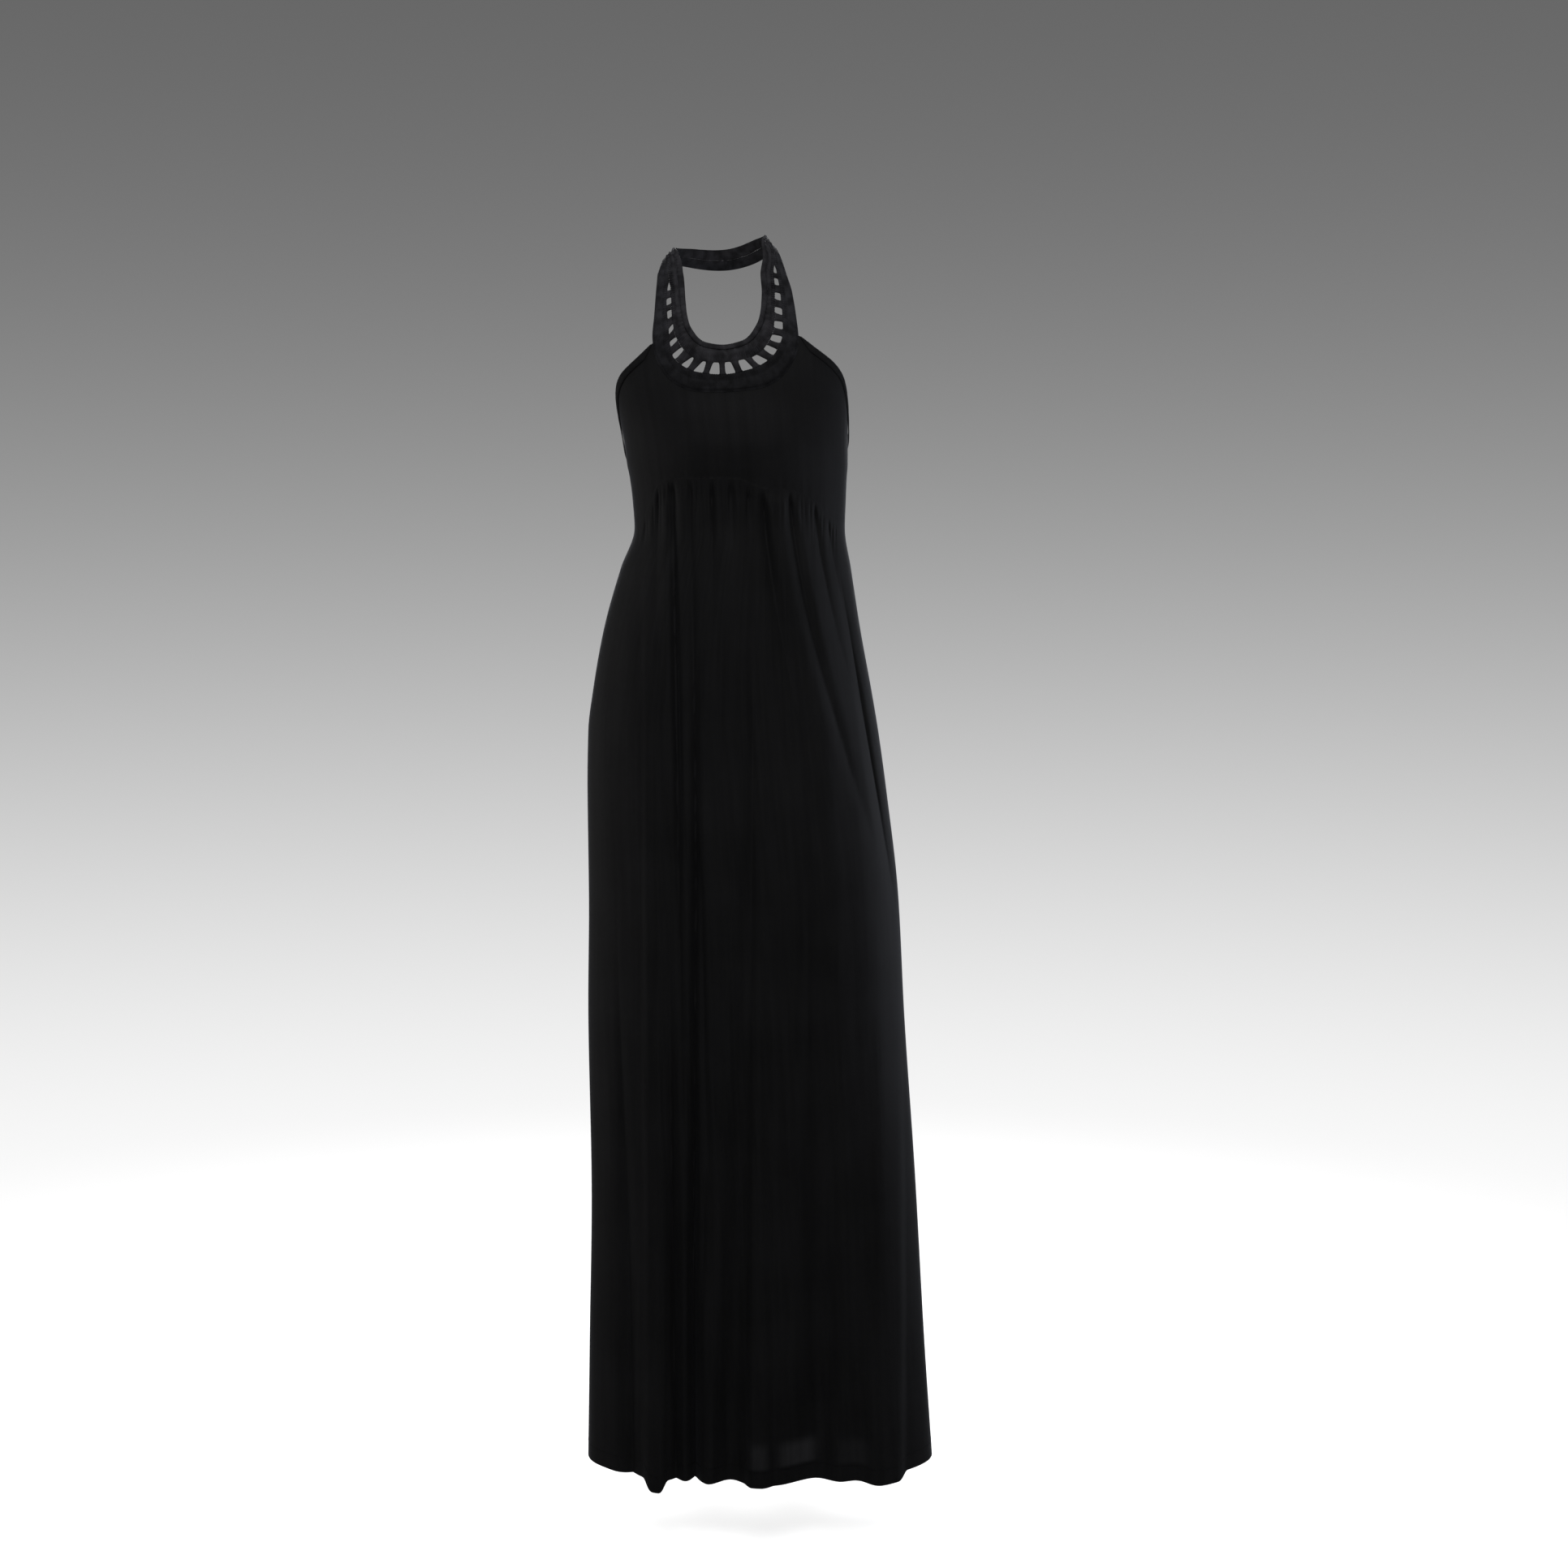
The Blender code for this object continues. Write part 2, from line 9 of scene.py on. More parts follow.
import bmesh
import bpy
import numpy as np
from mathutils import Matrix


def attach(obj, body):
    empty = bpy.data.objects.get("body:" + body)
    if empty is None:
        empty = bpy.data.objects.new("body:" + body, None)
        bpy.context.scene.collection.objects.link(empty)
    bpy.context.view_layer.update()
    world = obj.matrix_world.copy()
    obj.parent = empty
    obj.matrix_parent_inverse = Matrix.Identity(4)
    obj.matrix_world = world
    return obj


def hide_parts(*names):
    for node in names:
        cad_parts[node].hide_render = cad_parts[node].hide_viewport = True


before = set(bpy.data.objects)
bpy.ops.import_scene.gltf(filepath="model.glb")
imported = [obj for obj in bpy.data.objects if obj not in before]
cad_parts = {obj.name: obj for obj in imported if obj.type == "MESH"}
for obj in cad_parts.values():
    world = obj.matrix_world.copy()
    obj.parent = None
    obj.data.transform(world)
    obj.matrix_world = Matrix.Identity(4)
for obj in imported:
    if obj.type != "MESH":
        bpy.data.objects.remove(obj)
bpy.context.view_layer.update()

MILLIMETRE = 0.001

# Driving heights above the floor
NECK_HEIGHT = 1510.0
EMPIRE_HEIGHT = 1240.0
HEM_HEIGHT = 83.0

# Cloth: its thickness, the turned-up hem, and the gap left at a seam
JERSEY = 0.7
HEM_JERSEY = 1.8
HEM_TURN_UP = 20.0
SEAM_GAP = 0.04

# Edges of a shell that turn by more than this look sharp
SHARP_ANGLE = 70.0

# How much higher the shoulder line stands toward +X, and how far the neckline is turned on the neck
SHOULDER_LEAN = 7.0
NECKLINE_TURN = -0.8

# Collar: how far it lies above the form, how far its outer band comes down onto the bodice, its neck
# binding, the roundness of the ladder's holes, and the columns of its mesh
COLLAR_LIFT = 0.5
COLLAR_SEAT = 0.42
NECK_BINDING_WIDTH = 6.5
HOLE_ROUNDING = 1.0
COLLAR_COLUMNS = 1060

# Bodice: its pieces, the angle of its two top corners, how far it laps under the collar, its armhole binding
# with the angle from a corner in which that gets its width, and about how far one degree runs along it
CORNER_ANGLE = 38.0
SEAM_LAP = 7.0
ARMHOLE_BINDING_WIDTH = 8.0
BINDING_LIFT = 0.5
BINDING_END = 7.0
BODICE_RUN = 2.1

# Skirt: the run below the seam in which the folds begin, and in which a gather opens
SEAM_REACH = 18.0
GATHER_OPENING = 50.0

# A trough narrower than this on one side is sharp at its bottom
NARROW_FOLD = 20.0

# Folds and puckers die out beside the side seams, where the cosine of the angle is under this
SIDE_FADE = 0.35

# Rows of the skirt's mesh over the hem, as shares of its turn-up
HEM_ROWS = (0.94, 0.6, 0.25, 0.06, 0.0)

# Stitches: length, gap and radius, those of the finer ones, and how far each row is from its piece's edge
STITCH = {"length": 2.6, "gap": 0.9, "radius": 0.2}
FINE_STITCH = {"length": 2.2, "gap": 0.9, "radius": 0.17}
HEM_STITCHES_IN = 1.5
ARMHOLE_STITCHES_IN = 1.4
NECK_STITCHES_IN = 1.1
COLLAR_STITCHES_IN = 3.2

# Knit: width of its wales and height of its courses, in metres
WALE = 0.0011
COURSE = 0.0009

# Jerseys: colour, sheen, and how many times as light they are painted on the straps, for the light the
# straps catch, and in patches over the hem, for light from behind showing through the single layer of cloth
JERSEYS = {
    "black_jersey": {"colour": (0.0041, 0.0041, 0.0044), "sheen": 0.06},
    "skirt_jersey": {"colour": (0.0043, 0.0043, 0.0046), "sheen": 0.06, "painted_backlight": 2.6},
    "flat_jersey": {"colour": (0.004, 0.004, 0.0046), "sheen": 0.05, "strap": 2.2},
    "gathered_jersey": {"colour": (0.0092, 0.009, 0.0102), "sheen": 0.07, "strap": 1.1},
    "black_thread": {"colour": (0.004, 0.004, 0.0045), "sheen": 0.0},
}

# Patches of painted light over the hem, where light from behind shows through the single layer of cloth, at
# the same x on the front and the back: x and half width in metres, and how strongly each shows
PAINTED_BACKLIGHT_PATCHES = ((0.041, 0.012, 0.95), (0.085, 0.022, 1.6), (0.15, 0.02, 0.45))

# Photograph: where it was taken from, in metres from the neck's axis and the floor
CAMERA_SIDE = 0.0695
CAMERA_AWAY = 3.2
CAMERA_HEIGHT = 1.31
CAMERA_PITCH = 7.52
CAMERA_LENS = 64.14
SENSOR = 36.0

# Surround: its darkest grey, the share of the climb that its white reaches, and how sharply that falls
SURROUND_GREY = 0.11
SURROUND_REACH = 0.44
SURROUND_FALL = 1.8

# How far up a line of sight leans where that climb starts and ends
SURROUND_FOOT = -0.3
SURROUND_HEAD = 0.2

# Light that the surround and the floor cast, how bright the floor looks, and where it begins to fade
SURROUND_LIGHT = 0.14
FLOOR_LIGHT = 0.03
FLOOR_GLOW = 0.85
FLOOR_RADIUS = 2.2
FLOOR_FADE = 0.8

# Lamps, in metres from the neck: name, place, the place it points at, size, power and colour
LAMPS = (
    ("front", (0.02, -2.0, 1.35), (0.0, 0.0, -0.15), (1.8, 1.2), 80, (1, 1, 1)),
    ("above", (0.0, 0.2, 1.3), (0.0, 0.0, -0.1), (1.2, 1.0), 8, (1, 1, 1)),
    ("left", (-1.1, 0.3, -0.62), (0.0, 0.0, -0.62), (0.4, 0.8), 6.4, (1.0, 0.985, 0.97)),
    ("right", (0.78, 0.2, -0.7), (0.1, 0.0, -0.7), (0.3, 0.7), 6.5, (0.86, 0.9, 1.0)),
    ("behind", (0.1, 2.3, 0.5), (0.02, 0.0, -0.4), (1.8, 1.2), 70, (1, 1, 1)),
)


def table(columns, *rows):
    """The columns of a short table by name, each as an array."""
    return dict(zip(columns.split(), np.array(rows, float).T))


# Outline of the worn form: x at its two sides, and how far it reaches in front of the neck's axis and behind
FORM = table(
    "height left right front back",
    (83, -164, 246, 105, 122),
    (223, -161, 236, 105, 119),
    (421, -157, 224, 105, 116),
    (616, -159, 210, 105, 114),
    (760, -157, 202, 105, 116),
    (879, -157.5, 188, 105, 118),
    (950, -156, 178, 104, 115),
    (997, -150, 170, 103, 108),
    (1067, -137, 157, 102, 95),
    (1137, -117, 146, 100, 82),
    (1183, -101, 139, 99, 76),
    (1215, -103, 140, 104, 78),
    (1240, -106, 141, 109, 80),
    (1255, -109, 142, 113, 83),
    (1280, -112, 142, 118, 86),
    (1300, -116, 142, 116, 88),
    (1335, -124, 142, 105, 90),
    (1360, -129, 142, 97, 90),
    (1390, -128, 139, 86, 90),
    (1420, -117, 127, 74, 86),
    (1445, -103, 112, 64, 80),
    (1464, -88, 95, 60, 72),
    (1482, -66, 76, 55, 60),
    (1504, -48, 51, 50, 52),
    (1515, -44, 45, 48, 49),
)

# Collar from the centre front to the nape
COLLAR = table(
    "inner_angle inner_height outer_angle outer_height",
    (0, 1387, 0, 1335),
    (9, 1391, 14.6, 1337),
    (12.2, 1396, 26, 1348),
    (14.8, 1403, 33, 1366),
    (17.3, 1411, 36.5, 1382),
    (19.5, 1422, 38, 1400),
    (22, 1438, 41.5, 1430),
    (27.5, 1464, 51, 1463),
    (42, 1485, 66, 1480),
    (66, 1500, 84, 1487),
    (90, 1504, 98, 1488),
    (130, 1503, 133, 1484),
    (180, 1498, 180, 1475),
)

# Holes of the collar's ladder, from the strap toward -X round the front to the other strap: distance from
# the centre front, offset from the collar's middle line, and width, at the hole's inner and outer end. The
# first and last rows are where the ladder closes.
HOLES = table(
    "inner_distance outer_distance inner outer inner_width outer_width",
    (-151.5, -151.5, 0.2, 0.5, 0, 0),
    (-144.5, -144, -1.5, 2.2, 6.5, 6.5),
    (-128, -127, -2.2, 3.5, 8, 8),
    (-111.5, -111, -2.8, 2.6, 9.5, 9.5),
    (-93, -90, -5.2, 0.8, 7.3, 7.3),
    (-75.5, -75.5, -7.2, 3.0, 5.2, 5.8),
    (-60, -62, -7.2, 7.6, 5.5, 6.6),
    (-41, -46, -7.2, 6.8, 3.8, 8.4),
    (-25, -30, -6.7, 6.6, 4.8, 10.9),
    (-11, -12.5, -6.6, 7.2, 7.3, 11.8),
    (2.5, 5, -7.0, 6.9, 7.3, 10.8),
    (18.5, 23.5, -7.3, 5.6, 8.2, 12.2),
    (35.5, 42, -7.5, 4.8, 8.5, 10.5),
    (55, 59, -7.5, 5.2, 7.7, 8.4),
    (70.5, 75, -7.0, 4.6, 8.2, 8.4),
    (88, 91.5, -6.6, 4.0, 8.6, 9.1),
    (107, 107.5, -5.4, 3.5, 7.8, 7.8),
    (125.5, 124.5, -4.0, 2.8, 8.6, 8.6),
    (143, 142, -2.2, 2.8, 8.2, 7.8),
    (156.5, 155.5, -1.0, 2.8, 6.5, 6.5),
    (163, 163, 0.2, 0.5, 0, 0),
)

# Top edge of the bodice past each corner
ARMHOLE = table(
    "angle height",
    (38, 1393),
    (46.5, 1380),
    (54, 1370.5),
    (62, 1361),
    (74, 1343),
    (83, 1317),
    (90, 1288),
    (110, 1262),
    (140, 1248),
    (180, 1242),
)

# Empire seam round the dress
EMPIRE = table(
    "angle height",
    (-180, 1180),
    (-90, 1182),
    (-67, 1190),
    (-57, 1206),
    (-46, 1232),
    (-35, 1241),
    (-2, EMPIRE_HEIGHT),
    (8, 1234),
    (14, 1229),
    (30, 1227),
    (46, 1213),
    (54, 1202),
    (75, 1185),
    (90, 1182),
    (180, 1180),
)

# Long folds: x at the empire seam, thigh, calf and hem, how far the cloth stands out there, and the
# half widths of the fold at the hem toward -X and +X. One that never stands out by more than 0 is a trough.
FOLD_HEIGHTS = (HEM_HEIGHT, 260.0, 850.0, EMPIRE_HEIGHT)
FOLD_COLUMNS = "x_hem x_calf x_thigh x_seam out_hem out_calf out_thigh out_seam left_width right_width"
FRONT_FOLDS = table(
    FOLD_COLUMNS,
    (-107, -108, -122, -100, -10, -7, 0, 0, 26, 16),
    (-80, -80, -80, -82, 8, 2, 2, 0, 18, 17),
    (-56, -58, -60, -60, -12, -14, 0, 0, 17, 18),
    (-34, -35, -30, -34, -24, -20, -10, 0, 15, 17),
    (-30, -40, -50, -55, 0, 0, -8, -4, 18, 16),
    (7, 12, 31, 36, -18, -13, -4, -1, 27, 27),
    (36, 38, 40, 40, 8, 5, 0, 0, 14, 24),
    (103, 112, 110, 100, -20, -14, 0, 0, 42, 36),
    (120, 125, 130, 55, 0, 0, 3, 4, 44, 60),
    (198, 199, 194, 150, 9, 8, 0, 0, 40, 16),
)
BACK_FOLDS = table(
    FOLD_COLUMNS,
    (-112, -104, -92, -70, 18, 12, 5, 0, 34, 30),
    (-62, -60, -52, -42, -20, -13, -6, -2, 24, 26),
    (-18, -16, -12, -8, 20, 12, 5, 0, 26, 24),
    (34, 32, 28, 20, -22, -15, -7, -3, 26, 28),
    (88, 84, 72, 52, 19, 13, 6, 0, 32, 28),
    (140, 132, 112, 84, -18, -12, -5, -2, 28, 30),
    (192, 180, 148, 110, 16, 10, 3, 0, 30, 24),
)

# Where the hem dips below its height: x, depth and half widths toward -X and +X
HEM_DIPS = table("x dip left_width right_width", (-80, 13, 15, 15), (200, 8, 52, 15))

# Gathers under the empire seam: x at the seam, how far they drift toward +X, length, depth and half width
GATHER_COLUMNS = "x drift length depth half_width"
FRONT_GATHERS = table(
    GATHER_COLUMNS,
    (-86, -6, 80, 3, 7),
    (-71, -9, 200, 5, 9),
    (-52, -1, 300, 4, 9),
    (-34, -1, 100, 4, 7),
    (-10, -1, 200, 6, 8),
    (11, 5, 120, 6, 8),
    (30, 4, 90, 4, 7),
    (46, 75, 380, 10, 11),
    (76, 123, 430, 10, 11),
    (104, 70, 260, 5, 9),
    (119, 50, 190, 4, 9),
)
BACK_GATHERS = table(
    GATHER_COLUMNS,
    (-74, -8, 120, 3.5, 10),
    (-50, -5, 170, 4.5, 11),
    (-24, -2, 130, 3.5, 10),
    (3, 2, 210, 5, 12),
    (30, 4, 140, 3.5, 10),
    (57, 8, 180, 4.5, 11),
    (84, 10, 130, 4, 10),
    (108, 12, 110, 3, 9),
)

# Creases of the open skirt: x and height at the top and the bottom, depth, and half widths toward -X and +X
CREASE_COLUMNS = "x_top x_bottom top bottom depth left_width right_width"
FRONT_CREASES = table(
    CREASE_COLUMNS,
    (132, 200, 1135, 740, 9, 12, 10),
    (-54, -46, 1180, 800, 7, 9, 9),
    (-24, -19, 820, 460, 6, 10, 10),
    (36, 31, 1060, 640, 4, 12, 12),
    (-18, -26, 520, 250, 4, 9, 9),
)
BACK_CREASES = table(
    CREASE_COLUMNS,
    (-112, -138, 1120, 800, 5, 12, 12),
    (20, 26, 900, 480, 4, 12, 12),
    (126, 160, 1110, 760, 7, 9, 9),
)


def smooth(keys, values, at, level=False):
    """A cubic curve through a table's rows that never overshoots one, and may be level at its ends."""
    step = np.diff(keys)
    rise = np.diff(values) / step
    slope = np.zeros(len(values))
    turning = rise[:-1] * rise[1:] <= 0
    total = np.where(turning, 1.0, rise[:-1] + rise[1:])
    slope[1:-1] = np.where(turning, 0.0, 2 * rise[:-1] * rise[1:] / total)
    if not level:
        slope[0], slope[-1] = rise[0], rise[-1]
    at = np.clip(at, keys[0], keys[-1])
    i = np.clip(np.searchsorted(keys, at) - 1, 0, len(step) - 1)
    t = (at - keys[i]) / step[i]
    start = (1 + 2 * t) * (1 - t) ** 2 * values[i] + t * (1 - t) ** 2 * step[i] * slope[i]
    end = t**2 * (3 - 2 * t) * values[i + 1] + t**2 * (t - 1) * step[i] * slope[i + 1]
    return start + end


def ease(share):
    """A smooth step from 0 to 1."""
    share = np.clip(share, 0, 1)
    return share**2 * (3 - 2 * share)


def hump(distance, left_width, right_width):
    """1 on a fold's line, falling smoothly to 0 at its half width on each side."""
    width = np.where(distance < 0, left_width, right_width)
    return np.cos(np.clip(distance / width, -1, 1) * math.pi / 2) ** 2


def ridge(distance, left_width, right_width):
    """A fold's round section, flat on top."""
    return 1 - (1 - hump(distance, left_width, right_width)) ** 2.5


def trough(distance, left_width, right_width):
    """The section of a trough between two folds, narrow at its bottom."""
    width = np.where(distance < 0, left_width, right_width)
    return (1 - np.clip(np.abs(distance) / width, 0, 1)) ** 2


def wrapped(angle):
    """The same direction as an angle from -180 to 180."""
    return (np.asarray(angle, float) + 180) % 360 - 180


def long_folds(folds, x, height):
    """How far the long folds stand out at a place on the skirt."""
    keys = np.array(FOLD_HEIGHTS)
    narrowing = np.interp(height, (HEM_HEIGHT, EMPIRE_HEIGHT), (1.0, 0.5))
    out = np.zeros_like(x)
    for row in range(len(folds["x_hem"])):
        line = [folds[c][row] for c in ("x_hem", "x_calf", "x_thigh", "x_seam")]
        stand = [folds[c][row] for c in ("out_hem", "out_calf", "out_thigh", "out_seam")]
        distance = (x - smooth(keys, np.array(line), height)) / narrowing
        widths = folds["left_width"][row], folds["right_width"][row]
        if max(stand) > 0:
            shape = ridge(distance, *widths)
        else:
            shape = trough(distance, *widths) if min(widths) < NARROW_FOLD else hump(distance, *widths)
        out += smooth(keys, np.array(stand), height) * shape
    return out


def gathers(rows, x, below_seam):
    """How far the gathers stand out, which is inward, at a distance below the empire seam."""
    out = np.zeros_like(x)
    for start, drift, length, depth, half_width in zip(*(rows[c] for c in GATHER_COLUMNS.split())):
        along = np.clip(below_seam / length, 0, 1)
        swell = (1 - along) ** 1.3
        line = start + drift * along**1.5
        spread = half_width * (0.5 + 0.5 * ease(below_seam / GATHER_OPENING) + along)
        out -= depth * swell * trough(x - line, spread, spread)
    return out


def creases(rows, x, height):
    """How far the creases that start and end on the open skirt stand out, which is inward."""
    out = np.zeros_like(x)
    for start, end, top, bottom, depth, left, right in zip(*(rows[c] for c in CREASE_COLUMNS.split())):
        along = np.clip((top - height) / (top - bottom), 0, 1)
        line = start + (end - start) * along
        out -= depth * np.sin(math.pi * along) ** 0.8 * trough(x - line, left, right)
    return out


def form(angle, height):
    """The worn form's surface."""
    left, right = (smooth(FORM["height"], FORM[side], height) for side in ("left", "right"))
    front, back = (smooth(FORM["height"], FORM[side], height) for side in ("front", "back"))
    turn = np.radians(angle)
    x = (left + right) / 2 + (right - left) / 2 * np.sin(turn)
    y = -np.cos(turn) * np.where(np.cos(turn) > 0, front, back)
    return np.stack([x, y, height + 0 * x], axis=-1)


def empire_seam(angle):
    """Height of the empire seam."""
    return smooth(EMPIRE["angle"], EMPIRE["height"], wrapped(angle))


def hem_height(angle):
    """Height of the hem, which dips under two of the front's folds."""
    x = form(angle, HEM_HEIGHT + 0 * angle)[..., 0]
    height = HEM_HEIGHT + 0 * x
    for middle, dip, left, right in zip(*HEM_DIPS.values()):
        height -= dip * ridge(x - middle, left, right)
    return np.where(np.cos(np.radians(angle)) > 0, height, HEM_HEIGHT)


def small_gathers(seed, first, last, count):
    """A table of small gathers between two places, uneven in place, drift, length, depth and width."""
    chance = np.random.default_rng(seed)
    spacing = (last - first) / count
    rows = [
        (
            first + spacing * (i + chance.uniform(0.2, 0.8)),
            chance.uniform(-2, 3),
            chance.uniform(25, 110),
            chance.uniform(1.2, 3.0),
            chance.uniform(2.4, 4.4),
        )
        for i in range(count)
    ]
    return table(GATHER_COLUMNS, *rows)


FRONT_SMALL = small_gathers(11, -96, 132, 44)
BACK_SMALL = small_gathers(12, -94, 130, 44)


def soft_waves(x, height, seed):
    """Low, long waves between the main folds, a few tenths of a millimetre to a millimetre high."""
    chance = np.random.default_rng(seed)
    out = np.zeros_like(x)
    fall = ease((EMPIRE_HEIGHT - height) / 260)
    for _ in range(7):
        pitch = chance.uniform(34, 78)
        lean = chance.uniform(-0.03, 0.05)
        phase = chance.uniform(0, 2 * math.pi)
        wander = 6 * np.sin(height / chance.uniform(130, 260) + phase)
        high = chance.uniform(0.25, 0.6)
        out += high * np.sin(2 * math.pi * (x + lean * height + wander) / pitch + phase)
    return out * fall


def skirt_surface(angle, height):
    """The worn form with the skirt's folds and gathers, which die out toward the side seams."""
    point = form(angle, height)
    x = point[..., 0]
    facing = np.cos(np.radians(angle))
    below_seam = empire_seam(angle) - height
    front = long_folds(FRONT_FOLDS, x, height) + gathers(FRONT_GATHERS, x, below_seam)
    front += gathers(FRONT_SMALL, x, below_seam) + soft_waves(x, height, 21)
    front += creases(FRONT_CREASES, x, height)
    back = long_folds(BACK_FOLDS, x, height) + gathers(BACK_GATHERS, x, below_seam)
    back += gathers(BACK_SMALL, x, below_seam) + soft_waves(x, height, 22)
    back += creases(BACK_CREASES, x, height)
    fade = ease(np.abs(facing) / SIDE_FADE) * ease(below_seam / SEAM_REACH)
    point[..., 1] += fade * np.where(facing > 0, -front, back)
    return point


def lifted(surface, angle, height, lift, level=False):
    """Points at a distance out from a surface, along its normal or level with the point."""
    turn, climb = 0.05, 0.1
    along = surface(angle + turn, height) - surface(angle - turn, height)
    up = surface(angle, height + climb) - surface(angle, height - climb)
    normal = np.cross(along, up)
    if level:
        normal[..., 2] = 0
    normal /= np.linalg.norm(normal, axis=-1, keepdims=True)
    return surface(angle, height) + normal * np.broadcast_to(lift, height.shape)[..., None]


# Meshes


def metres(points):
    """Points in millimetres above the floor as metres from the neck."""
    moved = np.array(points, float)
    moved[..., 2] -= NECK_HEIGHT
    return moved * MILLIMETRE


def shell(name, nodes, outer, inner, uv, material, closed=False):
    """One closed cloth piece between an outer and an inner grid, with the cloth's lie as its UV map."""
    columns, rows = outer.shape[:2]
    inside = columns * rows
    spans = columns if closed else columns - 1
    i = np.arange(spans)[:, None]
    j = np.arange(rows - 1)[None, :]

    def index(column, row):
        return column % columns * rows + row

    a, b, c, d = index(i, j), index(i, j + 1), index(i + 1, j + 1), index(i + 1, j)
    ring = np.arange(spans)
    faces = [
        np.stack([a, d, c, b], axis=-1).reshape(-1, 4),
        inside + np.stack([a, b, c, d], axis=-1).reshape(-1, 4),
    ]
    low, low_next = index(ring, 0), index(ring + 1, 0)
    high, high_next = index(ring, rows - 1), index(ring + 1, rows - 1)
    faces.append(np.stack([low, inside + low, inside + low_next, low_next], axis=-1))
    faces.append(np.stack([high, high_next, inside + high_next, inside + high], axis=-1))
    if not closed:
        stack = np.arange(rows - 1)
        first, first_up = index(0, stack), index(0, stack + 1)
        last, last_up = index(columns - 1, stack), index(columns - 1, stack + 1)
        faces.append(np.stack([first, first_up, inside + first_up, inside + first], axis=-1))
        faces.append(np.stack([last, inside + last, inside + last_up, last_up], axis=-1))
    faces = np.concatenate(faces)

    points = metres(np.concatenate([outer.reshape(-1, 3), inner.reshape(-1, 3)]))
    mesh = bpy.data.meshes.new(name)
    mesh.from_pydata(points.tolist(), [], faces.tolist())
    lie = np.concatenate([uv.reshape(-1, 2), uv.reshape(-1, 2)]) * MILLIMETRE
    mesh.uv_layers.new(name="lie").data.foreach_set("uv", lie[faces.ravel()].ravel().astype(np.float32))
    mesh.shade_smooth()
    mesh.set_sharp_from_angle(angle=math.radians(SHARP_ANGLE))
    return placed(name, mesh, nodes, material)


def placed(name, mesh, nodes, material):
    """A piece of the dress in the scene, in place of its solids."""
    piece = bpy.data.objects.new(name, mesh)
    mesh.materials.append(material)
    bpy.context.scene.collection.objects.link(piece)
    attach(piece, "root")
    if nodes:
        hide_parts(*nodes)
    return piece


# Nodes


def plug(tree, node, sockets):
    """Gives a node's input sockets numbers, colours or the outputs of other nodes."""
    for socket, value in sockets.items():
        if isinstance(value, bpy.types.NodeSocket):
            tree.links.new(value, node.inputs[socket])
        else:
            node.inputs[socket].default_value = value


def add_node(tree, kind, sockets, **settings):
    """A new node of a tree, with its settings and its input sockets."""
    node = tree.nodes.new("ShaderNode" + kind)
    for setting, value in settings.items():
        setattr(node, setting, value)
    plug(tree, node, sockets)
    return node


def calculated(tree, operation, *values):
    """The result of a math node on numbers or outputs."""
    return add_node(tree, "Math", dict(enumerate(values)), operation=operation).outputs[0]


def weighed(tree, *terms):
    """The sum of outputs, each times its weight."""
    total = 0.0
    for output, weight in terms:
        total = calculated(tree, "ADD", calculated(tree, "MULTIPLY", output, weight), total)
    return total


def noise(tree, place, scale, detail):
    """A noise from 0 to 1 at a place."""
    return add_node(tree, "TexNoise", {"Vector": place, "Scale": scale, "Detail": detail}).outputs["Fac"]


def climb(tree, value, low, high, start, end, interpolation="SMOOTHSTEP"):
    """A value's climb between two bounds, spread from a start to an end."""
    sockets = {"Value": value, "From Min": low, "From Max": high, "To Min": start, "To Max": end}
    return add_node(tree, "MapRange", sockets, interpolation_type=interpolation).outputs["Result"]


def ramp(tree, value, stops):
    """The colour at a value, between stops that have a position and a colour."""
    node = add_node(tree, "ValToRGB", {"Fac": value})
    elements = node.color_ramp.elements
    while len(elements) < len(stops):
        elements.new(0.5)
    for element, (position, colour) in zip(elements, stops):
        element.position = position
        element.color = (*colour, 1)
    return node.outputs["Color"]


# Jersey


def knit_height(tree, along, up):
    """Height of the knit's small V shapes at a place on the cloth."""
    across = calculated(tree, "FRACT", calculated(tree, "DIVIDE", along, WALE))
    arm = calculated(tree, "ABSOLUTE", calculated(tree, "SUBTRACT", across, 0.5))
    rise = calculated(tree, "ADD", calculated(tree, "DIVIDE", up, COURSE), arm)
    wave = calculated(tree, "SINE", calculated(tree, "MULTIPLY", rise, math.pi))
    loop = calculated(tree, "ABSOLUTE", wave)
    edge = calculated(tree, "POWER", calculated(tree, "MULTIPLY", arm, 2.0), 2.0)
    groove = calculated(tree, "SUBTRACT", 1.0, edge)
    return weighed(tree, (loop, 0.45), (groove, 0.55))


def strap_light_and_mottle(tree, place, along, strap):
    """How much lighter the collar is painted away from the centre front, for the light that the straps
    catch, with a mottle of uneven tone.
    """
    lighter = climb(tree, calculated(tree, "ABSOLUTE", along), 0.05, 0.12, 1.0, strap)
    mottle = climb(tree, noise(tree, place, 110, 3), 0.32, 0.68, 0.62, 1.4)
    return calculated(tree, "MULTIPLY", lighter, mottle)


def painted_backlight_tone(tree, place, up, painted_backlight):
    """How much lighter the skirt is painted in patches just over its turned-up hem, for light from behind
    showing through the single layer of cloth there.
    """
    side = add_node(tree, "SeparateXYZ", {0: place}).outputs["X"]
    over = climb(tree, up, 0.019, 0.025, 0.0, painted_backlight - 1)
    under = climb(tree, up, 0.042, 0.058, 1.0, 0.0)
    band = calculated(tree, "MULTIPLY", over, under)
    lighter = 1.0
    for middle, half_width, strength in PAINTED_BACKLIGHT_PATCHES:
        away = calculated(tree, "ABSOLUTE", calculated(tree, "SUBTRACT", side, middle))
        patch = climb(tree, away, half_width * 0.4, half_width * 1.3, strength, 0.0)
        lighter = calculated(tree, "ADD", calculated(tree, "MULTIPLY", band, patch), lighter)
    return lighter


